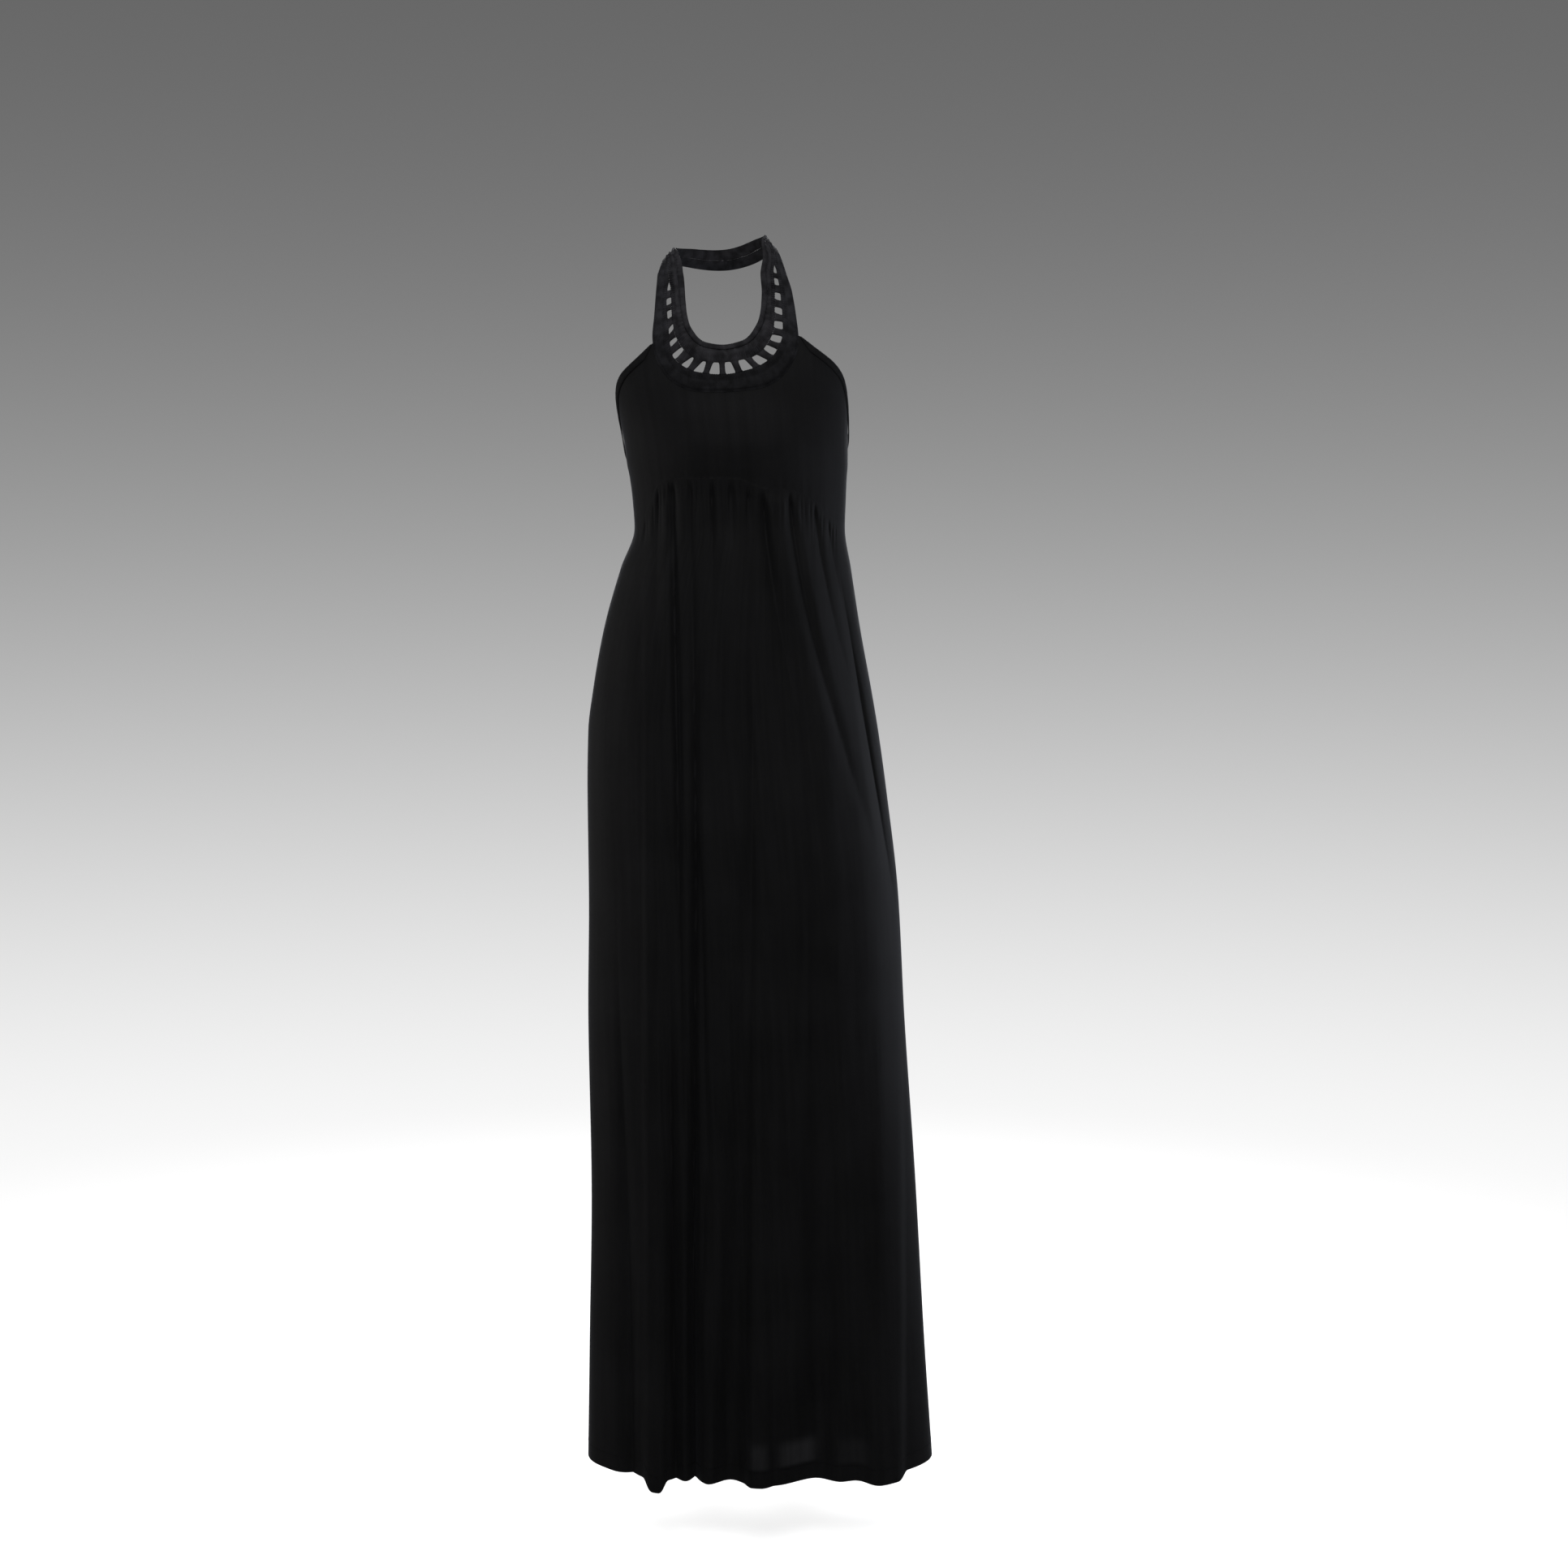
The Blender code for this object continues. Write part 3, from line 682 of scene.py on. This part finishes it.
def jersey_material(name, colour, sheen, strap=1.0, painted_backlight=1.0):
    """Black viscose jersey: a fine knit of small V shapes, a dull face and a grey bloom at its edges."""
    material = bpy.data.materials.new(name)
    material.use_nodes = True
    tree = material.node_tree
    lie = add_node(tree, "UVMap", {}, uv_map="lie").outputs["UV"]
    split = add_node(tree, "SeparateXYZ", {0: lie})
    along, up = split.outputs["X"], split.outputs["Y"]
    place = add_node(tree, "TexCoord", {}).outputs["Object"]

    knit = knit_height(tree, along, up)
    fuzz = noise(tree, place, 900, 3)
    cloud = noise(tree, place, 14, 3)
    stretched = add_node(tree, "Mapping", {"Vector": lie, "Scale": (120, 6, 1)}).outputs["Vector"]
    streak = noise(tree, stretched, 1, 4)

    lighter = 1.0
    # Painted light on the straps, with an uneven mottle
    if strap > 1:
        lighter = strap_light_and_mottle(tree, place, along, strap)
    # Painted light in patches over the hem, shining through the single layer of cloth
    if painted_backlight > 1:
        lighter = painted_backlight_tone(tree, place, up, painted_backlight)
    darker, paler = (tuple(c * tone for c in colour) for tone in (0.55, 1.45))
    mixed = weighed(tree, (knit, 0.2), (cloud, 0.4), (streak, 0.4))
    shade = ramp(tree, mixed, ((0.3, darker), (0.7, paler)))
    toned = add_node(tree, "VectorMath", {0: shade, "Scale": lighter}, operation="SCALE")
    height = weighed(tree, (knit, 1.0), (fuzz, 0.5), (streak, 1.2))
    bump = add_node(tree, "Bump", {"Strength": 0.35, "Distance": 0.00022, "Height": height})
    looks = {
        "Base Color": toned.outputs["Vector"],
        "Roughness": climb(tree, fuzz, 0.0, 1.0, 0.72, 0.9, "LINEAR"),
        "Metallic": 0,
        "Specular IOR Level": 0.06,
        "Sheen Weight": sheen,
        "Sheen Roughness": 0.24,
        "Sheen Tint": (0.86, 0.88, 1.0, 1),
        "Normal": bump.outputs["Normal"],
    }
    plug(tree, tree.nodes["Principled BSDF"], looks)
    return material


# Collar


def shoulder_lean(angle):
    """How much higher the shoulder line stands toward +X."""
    return SHOULDER_LEAN * np.sin(np.radians(angle))


def collar_place(station, across):
    """Angle and height at a station, -1 to 1 from the nape round the front, and a share across."""
    keys = np.linspace(0, 1, len(COLLAR["inner_angle"]))
    half = np.abs(station)
    side = np.sign(station)
    inner, outer = (smooth(keys, COLLAR[c], half) for c in ("inner_angle", "outer_angle"))
    angle = side * (inner + (outer - inner) * across) + NECKLINE_TURN * (1 - across)
    inner, outer = (smooth(keys, COLLAR[c], half, level=True) for c in ("inner_height", "outer_height"))
    height = inner + (outer - inner) * across
    return angle, height + shoulder_lean(angle)


def collar_lengths():
    """Stations round one half of the collar, their distance along its middle, and its width there."""
    station = np.linspace(0, 1, 401)
    middle = form(*collar_place(station, 0.5))
    steps = np.linalg.norm(np.diff(middle, axis=0), axis=1)
    width = np.linalg.norm(form(*collar_place(station, 1.0)) - form(*collar_place(station, 0.0)), axis=1)
    return station, np.concatenate([[0], np.cumsum(steps)]), width


STATIONS, DISTANCES, WIDTHS = collar_lengths()
COLLAR_HALF_LENGTH = DISTANCES[-1]


def collar_points(distance, offset, lift):
    """Points of the collar at a distance from the centre front, offset out from its middle line."""
    station = np.sign(distance) * np.interp(np.abs(distance), DISTANCES, STATIONS)
    width = np.interp(np.abs(distance), DISTANCES, WIDTHS)
    angle, height = collar_place(station, 0.5 + offset / width)
    return lifted(form, angle, height, COLLAR_LIFT + lift)


def ladder_edge(side, distance):
    """Offset of a band's edge along the ladder, on the ladder's inner or outer side."""
    return smooth(HOLES[side + "_distance"], HOLES[side], distance)


def hole_side(hole, way, along):
    """Distance of a hole's side toward -X or +X, a way of -1 or 1, at a share of the side's length."""
    inner = HOLES["inner_distance"][hole] + way * HOLES["inner_width"][hole] / 2
    outer = HOLES["outer_distance"][hole] + way * HOLES["outer_width"][hole] / 2
    return inner + (outer - inner) * along - way * HOLE_ROUNDING * np.abs(2 * along - 1) ** 6


def half_collar(distance):
    """Half the collar's whole width at a distance from the centre front."""
    return np.interp(np.abs(distance), DISTANCES, WIDTHS) / 2


def uneven(distance, pitch, seed):
    """A wave of about a pitch whose crests are unevenly spaced and unevenly high, from -1 to 1."""
    chance = np.random.default_rng(seed)
    wander = sum(
        chance.uniform(0.15, 0.35) * np.sin(distance / chance.uniform(6, 30) + chance.uniform(0, 6))
        for _ in range(4)
    )
    high = 0.75 + 0.25 * np.sin(distance / chance.uniform(9, 17) + chance.uniform(0, 6))
    return high * np.sin(2 * math.pi * (distance / pitch + wander))


def collar_strip(name, start, end, rows, relief, material, seat=0.0):
    """A strip round the whole collar between two offset functions, its relief a function of place.

    Past its inner edge its underside comes down by `seat`, onto the bodice.
    """
    ring = np.linspace(-COLLAR_HALF_LENGTH, COLLAR_HALF_LENGTH, COLLAR_COLUMNS, endpoint=False)[:, None]
    across = np.linspace(0, 1, rows)[None, :]
    offset = start(ring) + (end(ring) - start(ring)) * across
    distance = ring + 0 * across
    across = across + 0 * ring
    outer = collar_points(distance, offset, relief(distance, across))
    inner = collar_points(distance, offset, -seat * ease(across / 0.4))
    uv = np.stack([distance, offset], axis=-1)
    return shell(name + "_cloth", [name], outer, inner, uv, material, closed=True)


def binding_relief(distance, across):
    """A rounded turned strip, a little puckered by its stitches."""
    round_over = np.sqrt(np.clip(1 - (2 * across - 1) ** 2, 0, 1))
    pucker = 0.16 * uneven(distance, 5.5, 31) * ease(across / 0.6)
    return 0.35 + 1.6 * round_over**0.8 + pucker * round_over


def gathered_relief(distance, across):
    """A soft roll beside the binding, then fine radial gathers down to the ladder."""
    roll = 1.1 * hump(across - 0.34, 0.34, 0.4)
    drawn = ease((across - 0.3) / 0.3)
    ribs = 0.6 * uneven(distance, 2.9, 32) * drawn
    ribs = ribs + 0.3 * uneven(distance, 7.5, 34) * (1 - drawn)
    end = 0.5 * ease((across - 0.86) / 0.14)
    start = 0.5 * (1 - ease(across / 0.12))
    return 1.25 + roll + ribs - end - start


def flat_relief(distance, across):
    """A gathered edge along the ladder, then a smooth flat band to the seam."""
    edge = 0.6 * hump(across - 0.12, 0.12, 0.24)
    ribs = 0.5 * uneven(distance, 2.6, 33) * (1 - ease((across - 0.12) / 0.3))
    rim = 1.4 * ease((across - 0.75) / 0.25) ** 1.5
    swell = 0.2 * np.sin(math.pi * np.clip((across - 0.35) / 0.6, 0, 1))
    groove = 0.25 * hump(across - 0.36, 0.06, 0.06)
    return 1.3 + edge + ribs + swell - rim - groove


def build_collar(flat_jersey, gathered_jersey):
    """Neck binding, gathered inner band, flat outer band and the rungs between them."""
    binding = collar_strip(
        "neck_binding",
        lambda d: -half_collar(d),
        lambda d: NECK_BINDING_WIDTH - half_collar(d),
        11,
        binding_relief,
        gathered_jersey,
    )
    gathered = collar_strip(
        "neck_band_inner",
        lambda d: NECK_BINDING_WIDTH - half_collar(d),
        lambda d: ladder_edge("inner", d),
        15,
        gathered_relief,
        gathered_jersey,
    )
    flat = collar_strip(
        "neck_band_outer",
        lambda d: ladder_edge("outer", d),
        half_collar,
        21,
        flat_relief,
        flat_jersey,
        seat=COLLAR_SEAT,
    )
    for hole in range(1, len(HOLES["inner"]) - 2):
        rung(f"rung_{hole:02d}", hole, gathered_jersey)


def rung(name, hole, material):
    """One rolled bar of the ladder, between a hole and the next, flared into fine pleats at its ends."""
    across = np.linspace(0, 1, 15)[:, None]
    along = np.linspace(0, 1, 15)[None, :]
    left, right = hole_side(hole, 1, along), hole_side(hole + 1, -1, along)
    distance = left + (right - left) * across
    start, end = ladder_edge("inner", distance) + 0.1, ladder_edge("outer", distance) - 0.1
    offset = start + (end - start) * along
    round_over = np.sqrt(np.clip(1 - (2 * across - 1) ** 2, 0, 1))
    ends = np.abs(2 * along - 1) ** 3
    pleats = 0.16 * np.cos(across * 6 * math.pi + hole) * (0.4 + ends) * round_over
    lift = 0.5 + (1.7 - 0.35 * ends) * round_over + pleats
    outer = collar_points(distance, offset, lift)
    inner = collar_points(distance, offset, 0.12 - 0.1 * round_over + 0 * lift)
    uv = np.stack([offset, distance], axis=-1)
    shell(name + "_cloth", [name], outer, inner, uv, material)


# Bodice


def bodice_top(angle):
    """Height of the bodice's top edge: under the collar between the corners, the armhole past them."""
    angle = wrapped(angle)
    turn = np.abs(angle)
    collar_angle, collar_height = collar_place(STATIONS, 1.0)
    collar_edge = np.interp(turn, collar_angle, collar_height - shoulder_lean(collar_angle))
    lap = SEAM_LAP * (1 - np.clip(turn / CORNER_ANGLE, 0, 1) ** 2)
    armhole = smooth(ARMHOLE["angle"], ARMHOLE["height"], turn)
    top = np.where(turn < CORNER_ANGLE, np.minimum(collar_edge + lap, armhole), armhole)
    return top + shoulder_lean(angle)


def bodice_surface(angle, height):
    """The worn form with small puckers where the bodice takes up the skirt's gathers."""
    point = form(angle, height)
    x = point[..., 0]
    above = height - empire_seam(angle)
    near = np.exp(-np.clip(above, 0, None) / 9) * ease(above / 2.5)
    pucker = -0.9 * near * (0.5 + 0.5 * uneven(x, 9.0, 41))
    facing = np.cos(np.radians(angle))
    sides = ease(np.abs(facing) / SIDE_FADE)
    point[..., 1] += pucker * sides * np.where(facing > 0, -1, 1)
    return point


def with_corners(angle):
    """The same angles, with the nearest ones moved onto the bodice's two corners."""
    for corner in (-CORNER_ANGLE, CORNER_ANGLE):
        angle[np.argmin(np.abs(angle - corner))] = corner
    return angle


def bodice_panel(name, angle, rows, material):
    """A bodice panel from the empire seam up to its top edge."""
    share = np.linspace(0, 1, rows)[None, :]
    angle = angle[:, None] + 0 * share
    bottom = empire_seam(angle) + SEAM_GAP / 2
    height = bottom + (bodice_top(angle) - bottom) * share**1.15
    outer = bodice_surface(angle, height)
    inner = lifted(bodice_surface, angle, height, -JERSEY)
    inner[:, :1] = lifted(form, angle[:, :1], bottom[:, :1], -JERSEY, level=True)
    uv = np.stack([angle * BODICE_RUN, height], axis=-1)
    piece = shell(name + "_cloth", [name], outer, inner, uv, material)


def edge_strip(angle, edge, slope, run, width):
    """Angles and heights of a strip of places below an edge, square to it."""
    down = width / np.sqrt(1 + slope**2)[:, None]
    return angle[:, None] + slope[:, None] * down / run[:, None], edge[:, None] - down


def armhole_edge(count):
    """Angles from one corner under the arm and round the back to the other, the edge's height and slope."""
    start = CORNER_ANGLE + 0.6
    angle = np.linspace(start, 360 - start, count)
    step = 0.5
    edge = bodice_top(angle)
    run = np.linalg.norm(form(angle + step, edge)[:, :2] - form(angle - step, edge)[:, :2], axis=1)
    slope = (bodice_top(angle + step) - bodice_top(angle - step)) / run
    return angle, edge, slope, run / (2 * step)


def binding_width(angle):
    """Width of the armhole binding, which runs out at the bodice's two corners."""
    from_corner = np.minimum(angle - CORNER_ANGLE, 360 - CORNER_ANGLE - angle)
    return np.interp(from_corner, (0, BINDING_END), (1.0, ARMHOLE_BINDING_WIDTH))


def armhole_binding(material):
    """A narrow strip folded over the armholes and the back's top edge."""
    angle, edge, slope, run = armhole_edge(420)
    width = binding_width(angle)
    across = np.linspace(0, 1, 9)[None, :]
    turned, height = edge_strip(angle, edge, slope, run, width[:, None] * across)
    length = np.concatenate([[0], np.cumsum(np.diff(angle) * run[1:])])[:, None]
    round_over = np.clip(1 - (2 * across - 1) ** 4, 0, 1)
    pucker = 0.12 * uneven(length, 6.0, 42) * round_over
    outer = lifted(form, turned, height, BINDING_LIFT + 0.45 + 0.65 * round_over + pucker)
    inner = lifted(form, turned, height, BINDING_LIFT + 0 * height)
    uv = np.stack([length + 0 * across, width[:, None] * across], axis=-1)
    piece = shell("armhole_binding_cloth", ["armhole_binding"], outer, inner, uv, material)


# Skirt


def skirt_panel(name, angle, rows, material):
    """A skirt panel from its gathered top edge down to the turned-up hem, its rows closest at the top."""
    share = np.linspace(0, 1, rows)[None, :]
    share = 0.28 * share + 0.72 * share**2
    angle = angle[:, None]
    top = empire_seam(angle) - SEAM_GAP / 2
    hem = hem_height(angle)
    height = top - (top - hem - HEM_TURN_UP) * share
    edge = hem + HEM_TURN_UP * np.array(HEM_ROWS)[None, :]
    height = np.concatenate([height, edge], axis=1)[:, ::-1]
    angle = angle + 0 * height
    thickness = np.full(height.shape, JERSEY)
    thickness[:, : len(HEM_ROWS)] = HEM_JERSEY
    thickness[:, 0] = HEM_JERSEY * 0.6
    outer = skirt_surface(angle, height)
    inner = lifted(skirt_surface, angle, height, -thickness, level=True)
    steps = np.linalg.norm(np.diff(outer[:, 0, :2], axis=0), axis=1)
    length = np.concatenate([[0], np.cumsum(steps)])[:, None]
    uv = np.stack([length + 0 * height, height - hem], axis=-1)
    piece = shell(name + "_cloth", [name], outer, inner, uv, material)


# Stitches


def stitches(name, line, outward, material, length, gap, radius):
    """A row of short threads along a line of points, each standing a little out of the cloth."""
    steps = np.linalg.norm(np.diff(line, axis=0), axis=1)
    along = np.concatenate([[0], np.cumsum(steps)])
    starts = np.arange(0, along[-1] - length, length + gap)
    sides = 5
    rings = np.array([(0.0, 0.3), (0.18, 1.0), (0.5, 1.15), (0.82, 1.0), (1.0, 0.3)])
    points, faces = [], []
    for start in starts:
        at = start + rings[:, 0] * length
        middle = np.stack([np.interp(at, along, line[:, k]) for k in range(3)], axis=-1)
        out = np.stack([np.interp(at, along, outward[:, k]) for k in range(3)], axis=-1)
        out /= np.linalg.norm(out, axis=1, keepdims=True)
        ahead = middle[-1] - middle[0]
        side = np.cross(out, ahead / np.linalg.norm(ahead))
        turn = np.arange(sides) * 2 * math.pi / sides
        size = (rings[:, 1] * radius)[:, None, None]
        ring = middle[:, None] + size * (
            np.cos(turn)[None, :, None] * side[:, None] + np.sin(turn)[None, :, None] * out[:, None]
        )
        base = len(points) * sides * len(rings)
        points.append(ring.reshape(-1, 3))
        for j in range(len(rings) - 1):
            for k in range(sides):
                a, b = base + j * sides + k, base + j * sides + (k + 1) % sides
                faces.append((a, b, b + sides, a + sides))
        faces.append(tuple(base + k for k in reversed(range(sides))))
        faces.append(tuple(base + (len(rings) - 1) * sides + k for k in range(sides)))
    mesh = bpy.data.meshes.new(name)
    mesh.from_pydata(metres(np.concatenate(points)).tolist(), [], faces)
    mesh.shade_smooth()
    return placed(name, mesh, [], material)


def stitch_on(name, surface, angle, height, lift, material, **kind):
    """A row of one kind of stitches along places on a surface."""
    line = lifted(surface, angle, height, lift)
    return stitches(name, line, line - surface(angle, height), material, **kind)


def build_stitches(thread):
    """The hem's row of stitches and those along the bindings and the collar."""
    above_hem = HEM_TURN_UP - HEM_STITCHES_IN
    for name, start in (("hem_stitches_front", -90), ("hem_stitches_back", 90)):
        angle = np.linspace(start, start + 180, 700)
        stitch_on(name, skirt_surface, angle, hem_height(angle) + above_hem, 0.12, thread, **STITCH)

    angle, edge, slope, run = armhole_edge(500)
    width = binding_width(angle) - ARMHOLE_STITCHES_IN
    turned, height = edge_strip(angle, edge, slope, run, width[:, None])
    kept = width > 1
    places = turned[kept, 0], height[kept, 0]
    stitch_on("armhole_stitches", form, *places, BINDING_LIFT + 1.05, thread, **FINE_STITCH)

    distance = np.linspace(-COLLAR_HALF_LENGTH, COLLAR_HALF_LENGTH, 700)
    half = half_collar(distance)
    for name, offset, lift in (
        ("neck_stitches", NECK_BINDING_WIDTH - NECK_STITCHES_IN - half, 1.25),
        ("collar_stitches", half - COLLAR_STITCHES_IN, 1.2),
    ):
        line = collar_points(distance, offset, lift + 0 * distance)
        base = collar_points(distance, offset, 0 * distance)
        stitches(name, line, line - base, thread, **FINE_STITCH)


# Studio


def build_world():
    """A surround that turns softly from white under the horizon to grey above it."""
    world = bpy.data.worlds.new("studio")
    bpy.context.scene.world = world
    world.use_nodes = True
    tree = world.node_tree
    place = add_node(tree, "TexCoord", {}).outputs["Generated"]
    high = add_node(tree, "SeparateXYZ", {0: place}).outputs["Z"]
    share = climb(tree, high, SURROUND_FOOT, SURROUND_HEAD, 0.0, 1.0, "LINEAR")
    fall = calculated(tree, "POWER", calculated(tree, "DIVIDE", share, SURROUND_REACH), SURROUND_FALL)
    white = calculated(tree, "EXPONENT", calculated(tree, "MULTIPLY", fall, -1.0))
    grey = climb(tree, white, 0.0, 1.0, SURROUND_GREY, 1.0, "LINEAR")
    seen = tree.nodes["Background"]
    plug(tree, seen, {"Color": grey})
    felt = add_node(tree, "Background", {"Color": grey, "Strength": SURROUND_LIGHT})
    ray = add_node(tree, "LightPath", {}).outputs["Is Camera Ray"]
    mix = add_node(tree, "MixShader", {0: ray, 1: felt.outputs[0], 2: seen.outputs[0]})
    plug(tree, tree.nodes["World Output"], {"Surface": mix.outputs[0]})


def build_floor():
    """A round white floor that fades into the surround."""
    mesh = bpy.data.meshes.new("floor")
    disc = bmesh.new()
    bmesh.ops.create_circle(disc, cap_ends=True, radius=FLOOR_RADIUS, segments=96)
    disc.to_mesh(mesh)
    disc.free()
    floor = bpy.data.objects.new("floor", mesh)
    floor.location.z = -NECK_HEIGHT * MILLIMETRE
    bpy.context.scene.collection.objects.link(floor)

    material = bpy.data.materials.new("floor")
    mesh.materials.append(material)
    material.use_nodes = True
    tree = material.node_tree
    ray = add_node(tree, "LightPath", {}).outputs["Is Camera Ray"]
    looks = {
        "Base Color": (0.4, 0.4, 0.4, 1),
        "Roughness": 1.0,
        "Specular IOR Level": 0.0,
        "Emission Color": (1, 1, 1, 1),
        "Emission Strength": climb(tree, ray, 0.0, 1.0, FLOOR_LIGHT, FLOOR_GLOW, "LINEAR"),
    }
    shader = tree.nodes["Principled BSDF"]
    plug(tree, shader, looks)
    place = add_node(tree, "TexCoord", {}).outputs["Object"]
    away = add_node(tree, "VectorMath", {0: place}, operation="LENGTH").outputs["Value"]
    fade = climb(tree, away, FLOOR_FADE, FLOOR_RADIUS - 0.05, 0.0, 1.0)
    clear = add_node(tree, "BsdfTransparent", {})
    mix = add_node(tree, "MixShader", {0: fade, 1: shader.outputs[0], 2: clear.outputs[0]})
    plug(tree, tree.nodes["Material Output"], {"Surface": mix.outputs[0]})


def build_lamp(name, location, aim, size, power, colour):
    """A soft oblong lamp that doesn't show itself."""
    lamp = bpy.data.lights.new(name, "AREA")
    lamp.shape = "RECTANGLE"
    lamp.size, lamp.size_y = size
    lamp.energy = power
    lamp.color = colour
    holder = bpy.data.objects.new(name, lamp)
    holder.location = location
    way = np.subtract(aim, location)
    tilt = math.atan2(math.hypot(way[0], way[1]), -way[2])
    holder.rotation_euler = (tilt, 0, math.atan2(way[1], way[0]) - math.pi / 2)
    holder.visible_camera = False
    bpy.context.scene.collection.objects.link(holder)


def build_camera():
    """The photograph's camera: level with the bust, pitched a little down."""
    camera = bpy.data.cameras.new("camera")
    camera.lens = CAMERA_LENS
    camera.sensor_width = SENSOR
    holder = bpy.data.objects.new("camera", camera)
    holder.location = (CAMERA_SIDE, -CAMERA_AWAY, CAMERA_HEIGHT - NECK_HEIGHT * MILLIMETRE)
    holder.rotation_euler = (math.radians(90 - CAMERA_PITCH), 0, 0)
    bpy.context.scene.collection.objects.link(holder)
    bpy.context.scene.camera = holder


def build_studio():
    """White floor, grey surround, soft lamps and the camera."""
    build_world()
    build_floor()
    for row in LAMPS:
        build_lamp(*row)
    build_camera()
    bpy.context.scene.view_settings.view_transform = "Standard"


# Dress


def build_dress():
    """All the pieces of the dress."""
    jerseys = {name: jersey_material(name, **looks) for name, looks in JERSEYS.items()}
    plain, skirt = jerseys["black_jersey"], jerseys["skirt_jersey"]
    build_collar(jerseys["flat_jersey"], jerseys["gathered_jersey"])

    front = with_corners(np.linspace(-90, 90, 231))
    back = np.linspace(90, 270, 161)
    bodice_panel("bodice_front", front, 64, plain)
    bodice_panel("bodice_back", back, 22, plain)
    armhole_binding(plain)
    skirt_panel("skirt_front", np.linspace(-90, 90, 361), 112, skirt)
    skirt_panel("skirt_back", np.linspace(90, 270, 301), 84, skirt)
    build_stitches(jerseys["black_thread"])


build_studio()
build_dress()
